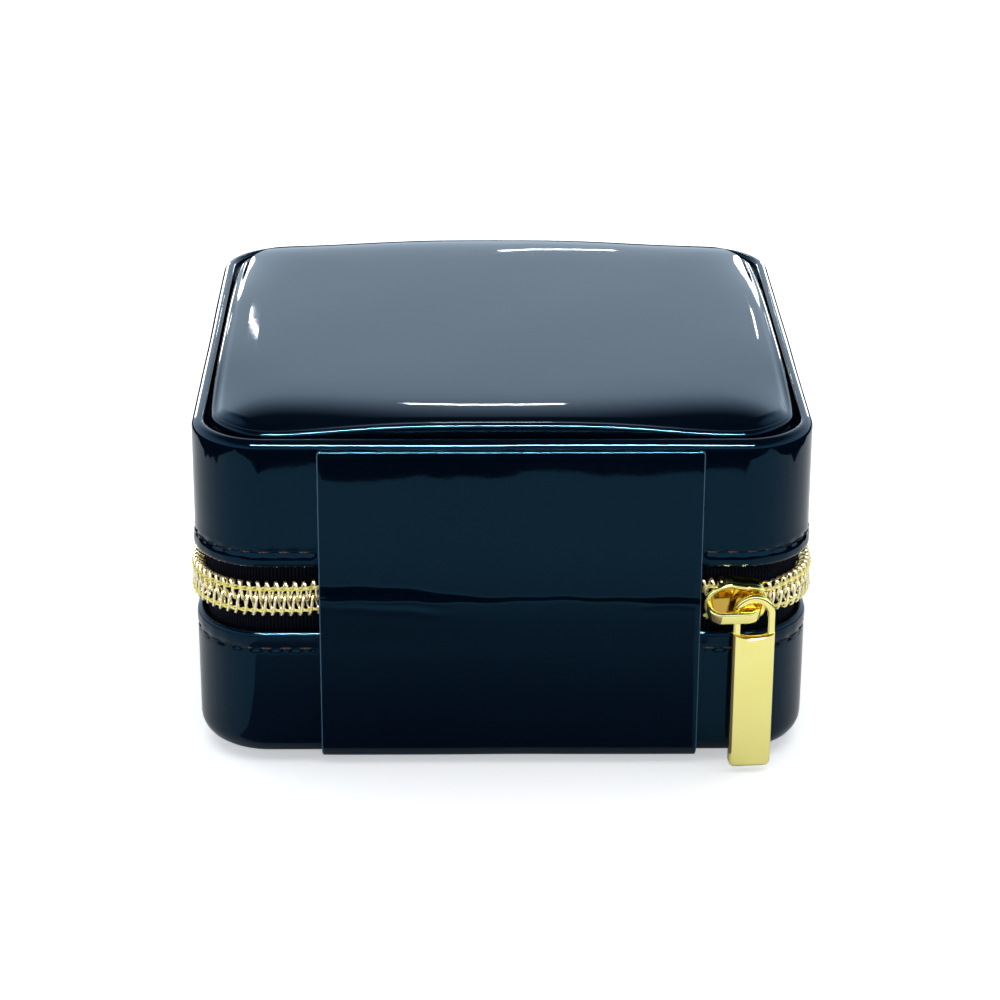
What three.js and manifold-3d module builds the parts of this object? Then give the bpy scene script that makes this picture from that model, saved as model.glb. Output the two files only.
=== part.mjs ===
// A small travel jewellery case in patent leather over board, closed by a coil zip that runs round
// three sides. The fourth side is the spine: a leather panel glued to the base and to the lid,
// whose free middle strip is the hinge.
//
// Millimetres, +Z up. The origin is on the underside, below the middle of the case. The spine faces
// -Y, and the lid opens towards it. The zip's closed end is on the spine side, next to the panel.
import * as THREE from "three";
import { mergeVertices } from "three/addons/utils/BufferGeometryUtils.js";
import Module from "manifold-3d";

const wasm = await Module();
wasm.setup();

// ---- driving dimensions ------------------------------------------------------------------
const CASE_W = 105; // along X, over the leather
const CASE_D = 105; // along Y
const CORNER_R = 12.6; // outer corner radius in plan
const CORNER_STEPS = 7; // facets in each rounded corner
const BASE_TOP = 25.0; // hem edge of the base
const LID_BOTTOM = 36.8; // hem edge of the lid
const RIM_TOP = 59.2; // top of the lid's raised rim
const ZIP_Z = (BASE_TOP + LID_BOTTOM) / 2; // the line where the two zip rows meet

const SKIN = 0.9; // leather
const HEM = 1.6; // leather turned in on itself
const HEM_DEPTH = 4.2; // height of the turned and stitched edge
const UNDER_SKIN = 0.9; // the base panel, below the wall cover's turned-in edge
const FOOT_R = 3.7; // rounding of the base's bottom edge
const BOARD_OUT = 1.05; // insets of the board walls from the outer face
const BOARD_IN = 2.8;
const LINING_OUT = 2.95;
const LINING_IN = 3.55;
const FLOOR_BOARD = [1.95, 3.95]; // heights of the layers of the floor
const FLOOR_LINING = [4.1, 4.7];
const FLOOR_PAD = [4.85, 6.85];
const FURNITURE_Z = 7.0; // underside of ring rolls and dividers
const GAP = 0.3; // between neighbours that only rest on each other

const SPINE = { left: -31, right: 33.5, skin: 0.9, top: 57.9, tuck: 6.0 };
const FOLD_BULGE = 0.9; // how far the hinge strip stands out over the zip's ends

const TAPE = [-2.3, -1.8]; // zip tape, as distances outward from the case's outer face
const COIL = [-1.65, 0.5];
const ROW = [0.1, 2.95]; // a coil row, as heights from the line where the rows meet
const CHAIN_Q = -0.6; // middle of the chain's thickness

const CENTRE_X = CASE_W / 2 - CORNER_R; // corner centres in plan
const CENTRE_Y = CASE_D / 2 - CORNER_R;
const ARC = (Math.PI / 2) * CORNER_R;
const ROUND = 4 * (CENTRE_X + CENTRE_Y) + 4 * ARC; // the whole way round
const SLIDER_U = 39.0; // the slider's place along the zip
const SLIDER = { back: 0.21, yaw: 4.5, lean: 15, half: 5.3, reach: 67.5 };
const SPREAD = 1.5; // how far each row stands off the middle line past the slider's mouth

const PULL = { s: 2.9, q: 4.3, z: -1.6, half: 3.57, hole: 2.27, slot: 2.8, foot: 1.0 };

const rad = THREE.MathUtils.degToRad;
const smooth = (x, from, to) => {
  const t = Math.min(Math.max((x - from) / (to - from), 0), 1);
  return t * t * (3 - 2 * t);
};

// ---- materials ---------------------------------------------------------------------------
const material = (color, roughness, metalness) =>
  new THREE.MeshStandardMaterial({ color, roughness, metalness });
const PATENT = material(0x0b1a2b, 0.12, 0);
const FABRIC = material(0x10151f, 0.9, 0);
const LINING = material(0x1c2a44, 0.95, 0);
const BOARD = material(0x8c8578, 0.95, 0);
const FOAM = material(0xd8d4c6, 0.9, 0);
const GOLD = material(0xd9b64a, 0.18, 1);
const COIL_GOLD = material(0xe0cc74, 0.3, 0.8);
const MIRROR = material(0xdfe6ea, 0.03, 1);
const THREAD = material(0x14202f, 0.7, 0);

// ---- solids ------------------------------------------------------------------------------
// A geometry as a manifold-3d solid with its faces pointing out.
function solidOf(geometry) {
  const bare = new THREE.BufferGeometry();
  bare.setAttribute("position", geometry.getAttribute("position").clone());
  if (geometry.index) bare.setIndex(geometry.index);
  const merged = mergeVertices(bare, 1e-4);
  const vertProperties = new Float32Array(merged.attributes.position.array);
  const triVerts = new Uint32Array(merged.index.array);
  const solid = new wasm.Manifold(new wasm.Mesh({ numProp: 3, vertProperties, triVerts }));
  if (solid.volume() > 0) return solid;
  const turned = triVerts.slice().reverse();
  return new wasm.Manifold(new wasm.Mesh({ numProp: 3, vertProperties, triVerts: turned }));
}

function geometryOf(solid) {
  const mesh = solid.getMesh();
  const geometry = new THREE.BufferGeometry();
  geometry.setAttribute("position", new THREE.BufferAttribute(mesh.vertProperties, 3));
  geometry.setIndex(new THREE.BufferAttribute(mesh.triVerts, 1));
  geometry.computeVertexNormals();
  return geometry;
}

// Joins rings of equally many points into one closed skin. flat is the ring's outline in its own
// plane, for the two end caps; without it the last ring joins the first.
function loft(rings, flat) {
  const n = rings[0].length;
  const positions = rings.flat().flatMap((p) => [p.x, p.y, p.z]);
  const index = [];
  const last = flat ? rings.length - 1 : rings.length;
  for (let i = 0; i < last; i++) {
    const a = i * n;
    const b = ((i + 1) % rings.length) * n;
    for (let j = 0; j < n; j++) {
      const k = (j + 1) % n;
      index.push(a + j, a + k, b + k, a + j, b + k, b + j);
    }
  }
  if (flat) {
    const end = (rings.length - 1) * n;
    for (const [p, q, r] of THREE.ShapeUtils.triangulateShape(flat, [])) {
      const turn = THREE.ShapeUtils.area(flat) > 0 ? [p, q, r] : [r, q, p];
      index.push(turn[2], turn[1], turn[0]);
      index.push(end + turn[0], end + turn[1], end + turn[2]);
    }
  }
  const geometry = new THREE.BufferGeometry();
  geometry.setAttribute("position", new THREE.Float32BufferAttribute(positions, 3));
  geometry.setIndex(index);
  return geometry;
}

// The case's outline in plan, moved inwards by inset, as a ring of points anticlockwise from above.
function outline(inset) {
  const r = Math.max(CORNER_R - inset, 2);
  const dx = CASE_W / 2 - inset - r;
  const dy = CASE_D / 2 - inset - r;
  const ring = [];
  for (let quarter = 0; quarter < 4; quarter++) {
    const sx = quarter === 0 || quarter === 3 ? 1 : -1;
    const sy = quarter < 2 ? 1 : -1;
    for (let k = 0; k <= CORNER_STEPS; k++) {
      const a = rad(90 * (quarter + k / CORNER_STEPS));
      ring.push(new THREE.Vector2(sx * dx + r * Math.cos(a), sy * dy + r * Math.sin(a)));
    }
  }
  return ring;
}

// A solid whose plan is the outline, at each [inset, z] of levels from the bottom up.
function stack(levels) {
  const rings = levels.map(([inset, z]) => outline(inset).map((p) => new THREE.Vector3(p.x, p.y, z)));
  return solidOf(loft(rings, outline(levels[0][0])));
}

// A closed ring round the case: profile is a closed outline of [inset, z] points.
function band(profile) {
  const rings = profile.map(([inset, z]) => outline(inset).map((p) => new THREE.Vector3(p.x, p.y, z)));
  return solidOf(loft(rings));
}

// Points of an arc in a profile, from angle a to angle b in degrees.
function arc(cx, cy, r, a, b, steps = 5) {
  const points = [];
  for (let k = 0; k <= steps; k++) {
    const t = rad(a + ((b - a) * k) / steps);
    points.push([cx + r * Math.cos(t), cy + r * Math.sin(t)]);
  }
  return points;
}

// An outline of [x, y] points pushed along +Z from z0 to z1.
function slab(points, z0, z1, holes = []) {
  const shape = new THREE.Shape(points.map(([x, y]) => new THREE.Vector2(x, y)));
  for (const hole of holes) shape.holes.push(new THREE.Path(hole.map(([x, y]) => new THREE.Vector2(x, y))));
  const geometry = new THREE.ExtrudeGeometry(shape, { depth: z1 - z0, bevelEnabled: false });
  return solidOf(geometry.translate(0, 0, z0));
}

function block(x0, x1, y0, y1, z0, z1) {
  const geometry = new THREE.BoxGeometry(x1 - x0, y1 - y0, z1 - z0);
  return solidOf(geometry.translate((x0 + x1) / 2, (y0 + y1) / 2, (z0 + z1) / 2));
}

function roundedRect(w, h, r, steps = 4) {
  const [x, y] = [w / 2 - r, h / 2 - r];
  const corners = [[x, y, 0], [-x, y, 90], [-x, -y, 180], [x, -y, 270]];
  return corners.flatMap(([x, y, a]) => arc(x, y, r, a, a + 90, steps));
}

// ---- the zip's way round the case ---------------------------------------------------------
// u runs along the outer face from the middle of the spine towards +X and all the way round.
// Gives the point on the outer face and the outward direction there.
function track(u) {
  let left = u - CENTRE_X;
  if (left <= 0) return { x: u, y: -CASE_D / 2, nx: 0, ny: -1 };
  for (let corner = 0; corner < 4; corner++) {
    const right = corner < 2 ? 1 : -1;
    const back = corner === 0 || corner === 3 ? -1 : 1;
    const start = -90 + 90 * corner;
    if (left <= ARC) {
      const a = rad(start + (90 * left) / ARC);
      const nx = Math.cos(a);
      const ny = Math.sin(a);
      return { x: right * CENTRE_X + CORNER_R * nx, y: back * CENTRE_Y + CORNER_R * ny, nx, ny };
    }
    left -= ARC;
    const a = rad(start + 90);
    const nx = Math.round(Math.cos(a));
    const ny = Math.round(Math.sin(a));
    const straight = corner === 3 ? CENTRE_X : 2 * (corner % 2 ? CENTRE_X : CENTRE_Y);
    if (left <= straight || corner === 3) {
      const x = right * CENTRE_X + CORNER_R * nx - ny * left;
      const y = back * CENTRE_Y + CORNER_R * ny + nx * left;
      return { x, y, nx, ny };
    }
    left -= straight;
  }
  throw new Error("u is past the end of the track");
}

// Where a swept piece needs a section: both ends, corner facets, and closely round the slider.
function stations(from, to) {
  const found = [from, to];
  let at = CENTRE_X;
  for (let corner = 0; corner < 4; corner++) {
    for (let k = 0; k <= CORNER_STEPS; k++) found.push(at + (ARC * k) / CORNER_STEPS);
    at += ARC + 2 * (corner % 2 ? CENTRE_X : CENTRE_Y);
  }
  for (let u = SLIDER_U - 9; u <= SLIDER_U + 12; u += 1.5) found.push(u);
  const inside = found.filter((u) => u >= from && u <= to).sort((a, b) => a - b);
  return inside.filter((u, i) => i === 0 || u - inside[i - 1] > 0.05);
}

// The tab's weight leans the slider, and the chain inside it: 1 in the slider, 0 away from it.
const leaning = (u) => 1 - smooth(Math.abs(u - SLIDER_U), SLIDER.half + 0.4, SLIDER.half + 6);

// How far each row is off the middle line: nothing where the zip is closed.
function spread(u) {
  const s = u - SLIDER_U;
  if (s > 0) return 0;
  return SPREAD * (0.55 * smooth(s, 1, -2.5) + 0.25 * smooth(s, -2, -5.3) + 0.2 * smooth(s, -5, -8));
}

// A section of [outward, height above ZIP_Z] points carried along the track. side is +1 for the
// lid's row and -1 for the base's, which is its mirror image.
function alongZip(section, from, to, side, moves = true) {
  const flat = section.map(([n, z]) => new THREE.Vector2(n, side * z));
  const rings = stations(from, to).map((u) => {
    const p = track(u);
    return flat.map(({ x: n, y: z0 }) => {
      const free = 1 - smooth(Math.abs(z0), 3.6, 5.6);
      const z1 = z0 + (moves ? side * spread(u) * free : 0);
      const lean = moves ? rad(SLIDER.lean) * leaning(u) * free : 0;
      const q = n - CHAIN_Q;
      const out = CHAIN_Q + q * Math.cos(lean) + z1 * Math.sin(lean);
      const z = z1 * Math.cos(lean) - q * Math.sin(lean);
      return new THREE.Vector3(p.x + out * p.nx, p.y + out * p.ny, ZIP_Z + z);
    });
  });
  return solidOf(loft(rings, flat));
}

const LEFT_END = ROUND + SPINE.left; // u of the spine panel's left edge

function tape(side, from, to) {
  const far = LID_BOTTOM - ZIP_Z + HEM_DEPTH;
  const heights = [0.15, 2.0, 3.6, 4.6, 5.6, far];
  const section = [...heights.map((z) => [TAPE[0], z]), ...heights.reverse().map((z) => [TAPE[1], z])];
  return alongZip(section, from, to, side);
}

function coil(side, from, to) {
  const [q0, q1] = COIL;
  const [z0, z1] = ROW;
  const c = 0.5;
  const section = [[q0, z0], [q0, z1], [q1 - c, z1], [q1, z1 - c], [q1, z0 + c], [q1 - c, z0]];
  return alongZip(section, from, to, side);
}

// ---- base ----------------------------------------------------------------------------------
// Foot of a wall profile: a quarter round from the underside to the wall, r inside the leather.
const foot = (r) => arc(FOOT_R, UNDER_SKIN + FOOT_R, r, 270, 180);

function baseWallCover() {
  const hem = BASE_TOP - HEM_DEPTH;
  return band([
    [9, UNDER_SKIN], ...foot(FOOT_R), [0, BASE_TOP - 0.5], [0.5, BASE_TOP], [HEM - 0.5, BASE_TOP],
    [HEM, BASE_TOP - 0.5], [HEM, hem], [SKIN, hem],
    ...foot(FOOT_R - SKIN).reverse(), [9, UNDER_SKIN + SKIN],
  ]);
}

const baseBottomPanel = () => {
  const inset = SPINE.tuck + GAP;
  return stack([[inset + 0.4, 0], [inset, 0.3], [inset, 0.8]]);
};

function baseBoard() {
  const top = BASE_TOP - HEM_DEPTH - 0.4;
  const outside = stack([...foot(FOOT_R - BOARD_OUT), [BOARD_OUT, top]]);
  return outside.subtract(stack([[BOARD_IN, FLOOR_BOARD[1]], [BOARD_IN, top + 1]]));
}

function baseLining() {
  const outside = stack([[LINING_OUT, FLOOR_LINING[0]], [LINING_OUT, BASE_TOP - 0.1]]);
  return outside.subtract(stack([[LINING_IN, FLOOR_LINING[1]], [LINING_IN, BASE_TOP + 1]]));
}

const baseFloorPad = () => stack([[3.75, FLOOR_PAD[0]], [3.75, FLOOR_PAD[1] - 0.5], [4.25, FLOOR_PAD[1]]]);

// Ring rolls lie across the left part of the base, with the slits between them along X.
const ROLLS = { count: 6, width: 15.8, height: 14.6, x0: -48.4, x1: -9.2 };
const DIVIDER = { thick: 2.4, top: 22.5, x: -7.4, end: 48.6, cross: 16.4 };

function ringRoll(i) {
  const pitch = ROLLS.width + GAP;
  const y = (i - (ROLLS.count - 1) / 2) * pitch;
  const r = ROLLS.width / 2;
  const crown = arc(0, ROLLS.height - r, r, 0, 180, 12);
  const profile = [...crown, [-r, 1.2], [-r + 1.2, 0], [r - 1.2, 0], [r, 1.2]];
  const bar = slab(profile, ROLLS.x0, ROLLS.x1).rotate([90, 0, 90]).translate([0, y, FURNITURE_Z]);
  return bar.intersect(stack([[3.9, FURNITURE_Z - 1], [3.9, FURNITURE_Z + ROLLS.height + 1]]));
}

function longDivider() {
  const { thick, top, x, end } = DIVIDER;
  return block(x - thick / 2, x + thick / 2, -end, end, FURNITURE_Z, top);
}

function crossDivider(y) {
  const { thick, top, x, end } = DIVIDER;
  return block(x + thick / 2 + GAP, end, y - thick / 2, y + thick / 2, FURNITURE_Z, top);
}

// ---- lid -----------------------------------------------------------------------------------
const GROOVE_Z = 57.1; // floor of the groove between the rim and the padded top
const RIM_W = 2.2;

function lidWallCover() {
  const hem = LID_BOTTOM + HEM_DEPTH;
  const under = GROOVE_Z - 0.8;
  return band([
    [HEM - 0.5, LID_BOTTOM], [0.5, LID_BOTTOM], [0, LID_BOTTOM + 0.5],
    ...arc(1.3, RIM_TOP - 1.3, 1.3, 180, 90),
    ...arc(RIM_W - 0.7, RIM_TOP - 0.7, 0.7, 90, 0), [RIM_W, GROOVE_Z], [8, GROOVE_Z], [8, under],
    [SKIN, under], [SKIN, hem], [HEM, hem], [HEM, LID_BOTTOM + 0.5],
  ]);
}

const CEILING_BOARD = [54.2, 56.15];
const CEILING_LINING = [53.4, 54.05];

function lidBoard() {
  const bottom = LID_BOTTOM + HEM_DEPTH + 0.4;
  const outside = stack([[BOARD_OUT, bottom], [BOARD_OUT, CEILING_BOARD[1]]]);
  return outside.subtract(stack([[BOARD_IN, bottom - 1], [BOARD_IN, CEILING_BOARD[0]]]));
}

function lidLining() {
  const outside = stack([[LINING_OUT, LID_BOTTOM + 0.1], [LINING_OUT, CEILING_LINING[1]]]);
  return outside.subtract(stack([[LINING_IN, LID_BOTTOM - 1], [LINING_IN, CEILING_LINING[0]]]));
}

// The padded top's surface: a steep side out of the groove, a soft shoulder and a shallow crown.
const PAD_OUT = 3.1;
const padLevels = (thin) => [
  [PAD_OUT + 0.4 + thin, GROOVE_Z + 0.15], [PAD_OUT + thin, 58.4], [PAD_OUT + 0.1 + thin, 59.6],
  [PAD_OUT + 0.6 + thin, 60.6 - thin * 0.3], [PAD_OUT + 1.6 + thin, 61.3 - thin * 0.7],
  [PAD_OUT + 3.2 + thin, 61.75 - thin], [12, 62.3 - thin], [22, 62.7 - thin],
  [36, 62.9 - thin], [48, 62.95 - thin],
];

function lidTopCover() {
  const inner = padLevels(SKIN);
  inner[0] = [inner[0][0], GROOVE_Z - 1];
  return stack(padLevels(0)).subtract(stack(inner));
}

const lidTopFoam = () => stack(padLevels(SKIN + 0.15).map(([inset, z]) => [inset, z]));

const MIRROR_SIDE = 72;
const MIRROR_Z = [51.6, 53.25];

const lidMirror = () => slab(roundedRect(MIRROR_SIDE, MIRROR_SIDE, 4), ...MIRROR_Z);

function mirrorFrame() {
  const outer = roundedRect(MIRROR_SIDE + 9, MIRROR_SIDE + 9, 8);
  const side = MIRROR_SIDE + 2 * GAP;
  const seat = slab(roundedRect(side, side, 4.3), MIRROR_Z[0] - GAP, MIRROR_Z[1] + 1);
  const opening = slab(roundedRect(MIRROR_SIDE - 3, MIRROR_SIDE - 3, 3), MIRROR_Z[0] - 3, MIRROR_Z[1] + 1);
  return slab(outer, MIRROR_Z[0] - 1.0, MIRROR_Z[1]).subtract(seat).subtract(opening);
}

// ---- spine ---------------------------------------------------------------------------------
// The panel's section, as [y, z] points, is carried along X between its two edges.
function spineStrip(profile) {
  return slab(profile, SPINE.left, SPINE.right).rotate([90, 0, 90]);
}

const SPINE_IN = -CASE_D / 2 - 0.05; // inner face of the panel
const SPINE_OUT = SPINE_IN - SPINE.skin;

function spinePanelBase() {
  const cy = -CASE_D / 2 + FOOT_R;
  const cz = UNDER_SKIN + FOOT_R;
  const tuck = -CASE_D / 2 + SPINE.tuck;
  return spineStrip([
    [SPINE_IN, BASE_TOP - GAP / 2], [SPINE_OUT, BASE_TOP - GAP / 2],
    ...arc(cy, cz, FOOT_R + SPINE.skin, 180, 270, 7),
    [tuck, 0], [tuck, 0.85], ...arc(cy, cz, FOOT_R + 0.05, 270, 180, 7),
  ]);
}

// The strip between the two hems stands out a little over the zip's ends; the rest lies flat.
function spinePanelLid() {
  const inner = [];
  const half = (LID_BOTTOM - BASE_TOP) / 2;
  for (let k = 0; k <= 8; k++) {
    const t = k / 4 - 1;
    inner.push([SPINE_IN - FOLD_BULGE * (1 - t * t), ZIP_Z + half * t + (k ? 0 : GAP / 2)]);
  }
  inner.push([SPINE_IN, SPINE.top]);
  const outer = inner.map(([y, z]) => [y - SPINE.skin, z]).reverse();
  return spineStrip([...inner, ...outer]);
}

// Lining cloth across the hinge, sewn into both hems between the zip tape's two ends.
function hingeCloth() {
  const y = -CASE_D / 2 + 1.95;
  const reach = (LID_BOTTOM - BASE_TOP) / 2 + HEM_DEPTH;
  return block(-28, 29, y, y + 0.5, ZIP_Z - reach, ZIP_Z + reach);
}

// Thread that shows outside each hem, from one edge of the spine panel round to the other.
function seamThread(z) {
  const h = z - ZIP_Z;
  const section = [[0.05, h - 0.2], [0.05, h + 0.2], [0.35, h + 0.2], [0.35, h - 0.2]];
  return alongZip(section, SPINE.right + GAP, LEFT_END - GAP, 1, false);
}

// ---- slider and pull -----------------------------------------------------------------------
// Their own frame: s along the zip away from the closed end, z up, q outward from the chain's middle.
// slab() draws in the plane of s and z, and pushes along q once it is turned to stand.
const standing = (solid) => solid.rotate([90, 0, 0]);

// Half width of the slider's plates at s: narrow tail, wide shoulder, round nose.
function plateOutline(shrink) {
  const h = SLIDER.half - shrink;
  const tail = 3.7 - shrink;
  const wide = 4.4 - shrink;
  const shoulder = -1.6;
  const reach = h + shoulder;
  const nose = arc(0, 0, 1, 90, 180, 7).map(([x, z]) => [shoulder + x * reach, z * wide]);
  const half = [[h, 0], [h, tail - 0.8], [h - 0.8, tail], [1.2, tail], ...nose];
  const other = half.slice(1, -1).reverse().map(([s, z]) => [s, -z]);
  return [...half, ...other];
}

function zipSlider() {
  const outer = standing(slab(plateOutline(0), 1.45, 2.3));
  const inner = standing(slab(plateOutline(0), -2.85, -2.05));
  const wall = standing(slab(plateOutline(0), -0.75, 1.6, [plateOutline(0.35)]));
  const mouth = block(-9, -2.6, -9, 9, -9, 9);
  const tailGap = block(4.4, 9, -9, 9, -ROW[1] - 0.15, ROW[1] + 0.15);
  const flanges = wall.subtract(mouth).subtract(tailGap);
  const diamond = [[-4.7, 0], [-3.9, -0.75], [-3.2, -0.75], [-2.2, 0], [-3.2, 0.75], [-3.9, 0.75]];
  const post = standing(slab(diamond, -2.2, 1.6));
  const bridgeProfile = [
    [-4.5, 2.0], ...arc(-2.4, 4.3, 2.1, 180, 90, 4), ...arc(1.8, 4.2, 2.2, 90, 0, 4), [4.0, 2.0],
    [2.9, 2.0], ...arc(1.7, 4.15, 1.2, 0, 90, 4), ...arc(-2.3, 4.15, 1.2, 90, 180, 4), [-3.5, 2.0],
  ];
  const bridge = slab(bridgeProfile, -1.05, 1.05).rotate([180, 0, 0]);
  return outer.add(inner).add(flanges).add(post).add(bridge);
}

function pullTab() {
  const { half, hole, slot } = PULL;
  const length = ZIP_Z + PULL.z - PULL.foot;
  const ring = [...arc(0, 0, half, 0, 180, 14), [-half, -slot - 1.5], [half, -slot - 1.5]];
  const eye = [...arc(0, 0, hole, 0, 180, 12), [-hole, -slot], [hole, -slot]];
  const loop = slab(ring, -0.6, 0.6, [eye]);
  const lower = roundedRect(2 * half, 4, 1.2).filter(([, y]) => y < 0);
  const bar = [[half, -slot - 0.4], [-half, -slot - 0.4], ...lower.map(([x, y]) => [x, y + 2 - length])];
  const thick = new THREE.Shape(bar.map(([x, y]) => new THREE.Vector2(x, y)));
  const bevel = { depth: 1.3, bevelThickness: 0.3, bevelSize: 0.3, bevelOffset: -0.3, bevelSegments: 2 };
  const body = solidOf(new THREE.ExtrudeGeometry(thick, bevel).translate(0, 0, -0.65));
  return standing(loop.add(body));
}

// ---- assembly ------------------------------------------------------------------------------
function part(name, solid, look) {
  const mesh = new THREE.Mesh(geometryOf(solid), look);
  mesh.name = name;
  return mesh;
}

const base = new THREE.Group();
base.add(
  part("base_bottom_panel", baseBottomPanel(), PATENT),
  part("base_wall_cover", baseWallCover(), PATENT),
  part("base_board", baseBoard(), BOARD),
  part("base_lining", baseLining(), LINING),
  part("base_floor_pad", baseFloorPad(), LINING),
  part("divider_long", longDivider(), LINING),
  part("divider_cross_rear", crossDivider(-DIVIDER.cross), LINING),
  part("divider_cross_front", crossDivider(DIVIDER.cross), LINING),
  part("seam_thread_base", seamThread(BASE_TOP - 3.4), THREAD),
  part("zip_tape_lower", tape(-1, SLIDER.reach + GAP, LEFT_END + 3), FABRIC),
  part("zip_tape_lower_end", tape(-1, 30, SLIDER.reach), FABRIC),
  part("zip_coil_lower", coil(-1, SLIDER.reach + GAP, LEFT_END - GAP), COIL_GOLD),
  part("zip_coil_lower_end", coil(-1, SPINE.right + GAP, SLIDER.reach), COIL_GOLD),
  part("spine_panel_base", spinePanelBase(), PATENT),
  part("hinge_cloth", hingeCloth(), LINING),
);
for (let i = 0; i < ROLLS.count; i++) base.add(part(`ring_roll_${i + 1}`, ringRoll(i), LINING));

const lid = new THREE.Group();
lid.add(
  part("lid_wall_cover", lidWallCover(), PATENT),
  part("lid_board", lidBoard(), BOARD),
  part("lid_lining", lidLining(), LINING),
  part("lid_top_cover", lidTopCover(), PATENT),
  part("lid_top_foam", lidTopFoam(), FOAM),
  part("lid_mirror", lidMirror(), MIRROR),
  part("mirror_frame", mirrorFrame(), LINING),
  part("seam_thread_lid", seamThread(LID_BOTTOM + 2.3), THREAD),
  part("zip_tape_upper", tape(1, SLIDER.reach + GAP, LEFT_END + 3), FABRIC),
  part("zip_tape_upper_end", tape(1, 30, SLIDER.reach), FABRIC),
  part("zip_coil_upper", coil(1, SLIDER.reach + GAP, LEFT_END - GAP), COIL_GOLD),
  part("zip_coil_upper_end", coil(1, SPINE.right + GAP, SLIDER.reach), COIL_GOLD),
  part("spine_panel_lid", spinePanelLid(), PATENT),
);

// The slider rides on the chain where the zip ends, at the start of the corner, leaning with the
// tab's weight; the tab hangs straight down.
const runner = new THREE.Group();
runner.position.set(SLIDER_U, -CASE_D / 2 - CHAIN_Q + SLIDER.back, ZIP_Z);
runner.rotation.z = rad(SLIDER.yaw);
const slider = part("zip_slider", zipSlider(), GOLD);
slider.rotation.x = rad(SLIDER.lean);
const tab = part("pull_tab", pullTab(), GOLD);
tab.position.set(PULL.s, -PULL.q, PULL.z);
runner.add(slider, tab);

const jewelleryCase = new THREE.Group();
jewelleryCase.add(base, lid, runner);
export default jewelleryCase;
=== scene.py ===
# A small travel jewellery case in navy patent leather over board, closed by a gilt coil zip that runs
# round three sides. The spine, with its leather hinge panel and the zip's closed end, faces the camera.
import math

import bmesh
import bpy
import numpy as np
from mathutils import Matrix, Vector


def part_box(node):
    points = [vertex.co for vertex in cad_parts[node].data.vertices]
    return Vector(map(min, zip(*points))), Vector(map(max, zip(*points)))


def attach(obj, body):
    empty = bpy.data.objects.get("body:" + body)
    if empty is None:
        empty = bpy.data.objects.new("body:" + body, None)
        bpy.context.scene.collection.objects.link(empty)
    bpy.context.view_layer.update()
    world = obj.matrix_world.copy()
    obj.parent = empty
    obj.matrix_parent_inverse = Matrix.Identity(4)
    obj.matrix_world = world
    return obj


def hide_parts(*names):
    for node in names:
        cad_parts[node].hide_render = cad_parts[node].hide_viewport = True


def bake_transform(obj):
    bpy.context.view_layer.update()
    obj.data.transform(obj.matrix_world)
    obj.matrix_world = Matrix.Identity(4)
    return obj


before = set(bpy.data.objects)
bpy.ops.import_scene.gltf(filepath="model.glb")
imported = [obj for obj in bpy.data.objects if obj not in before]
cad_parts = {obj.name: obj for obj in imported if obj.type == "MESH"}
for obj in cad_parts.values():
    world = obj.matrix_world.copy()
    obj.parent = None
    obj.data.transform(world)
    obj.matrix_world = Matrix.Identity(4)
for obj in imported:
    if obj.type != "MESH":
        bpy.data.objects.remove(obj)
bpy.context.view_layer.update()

# ---- studio: floor, light and camera ---------------------------------------------------------
# The case stands on a wide pale floor in a white surround that is dark overhead. A soft panel that
# gloss doesn't mirror lights the floor. Black felt and a dark card that only gloss shows shade the
# walls, and strip lamps make the glints and the thin lines along the edges.


class Value:
    """A socket's value among nodes. Arithmetic on it adds the Math nodes that work it out."""

    def __init__(self, nodes, socket):
        self.nodes = nodes
        self.socket = socket

    def maths(self, operation, *values):
        return self.nodes.node("Math", {"operation": operation}, dict(enumerate((self, *values))))

    def __add__(self, other):
        return self.maths("ADD", other)

    def __mul__(self, other):
        return self.maths("MULTIPLY", other)

    __radd__ = __add__
    __rmul__ = __mul__


class Nodes:
    """A node tree, with one method that adds any node and a few that put common ones together."""

    def __init__(self, tree):
        self.tree = tree

    def node(self, kind, settings=None, values=None, out=0):
        """Adds a node, sets its settings, then its sockets, and gives one output as a Value."""
        node = self.tree.nodes.new("ShaderNode" + kind)
        for setting, value in (settings or {}).items():
            if setting == "stops":
                for extra in value[2:]:
                    node.color_ramp.elements.new(0.5)
                for stop, (position, color) in zip(node.color_ramp.elements, value):
                    stop.position, stop.color = position, color
            else:
                setattr(node, setting, value)
        for socket, value in (values or {}).items():
            self.put(node.inputs[socket], value)
        return Value(self, node.outputs[out])

    def put(self, socket, value):
        """Links a Value to a socket, or sets the socket to a number, a colour or a vector."""
        if isinstance(value, Value):
            self.tree.links.new(value.socket, socket)
        else:
            socket.default_value = value

    def part(self, vector, axis):
        """One number of a vector: 0 for x, 1 for y and 2 for z."""
        return self.node("SeparateXYZ", {}, {0: vector}, out=axis)

    def place(self):
        """Where the surface lies, in the object's own metres."""
        return self.node("TexCoord", out=3)

    def way(self):
        """The UV map that surface() lays along and across a piece."""
        return self.node("UVMap", {"uv_map": "way"})

    def noise(self, scale, detail=2.0):
        """Noise of that many features a metre."""
        return self.node("TexNoise", {}, {"Vector": self.place(), "Scale": scale, "Detail": detail})

    def mix(self, share, first, second):
        """A colour between first and second."""
        return self.node("Mix", {"data_type": "RGBA"}, {0: share, 6: first, 7: second}, out=2)

    def bump(self, height, depth, below=None):
        """A normal from a height of 0 to 1 that stands for depth metres, over another bump."""
        values = {"Height": height, "Distance": depth, "Strength": 1.0}
        if below:
            values["Normal"] = below
        return self.node("Bump", {}, values)


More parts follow.
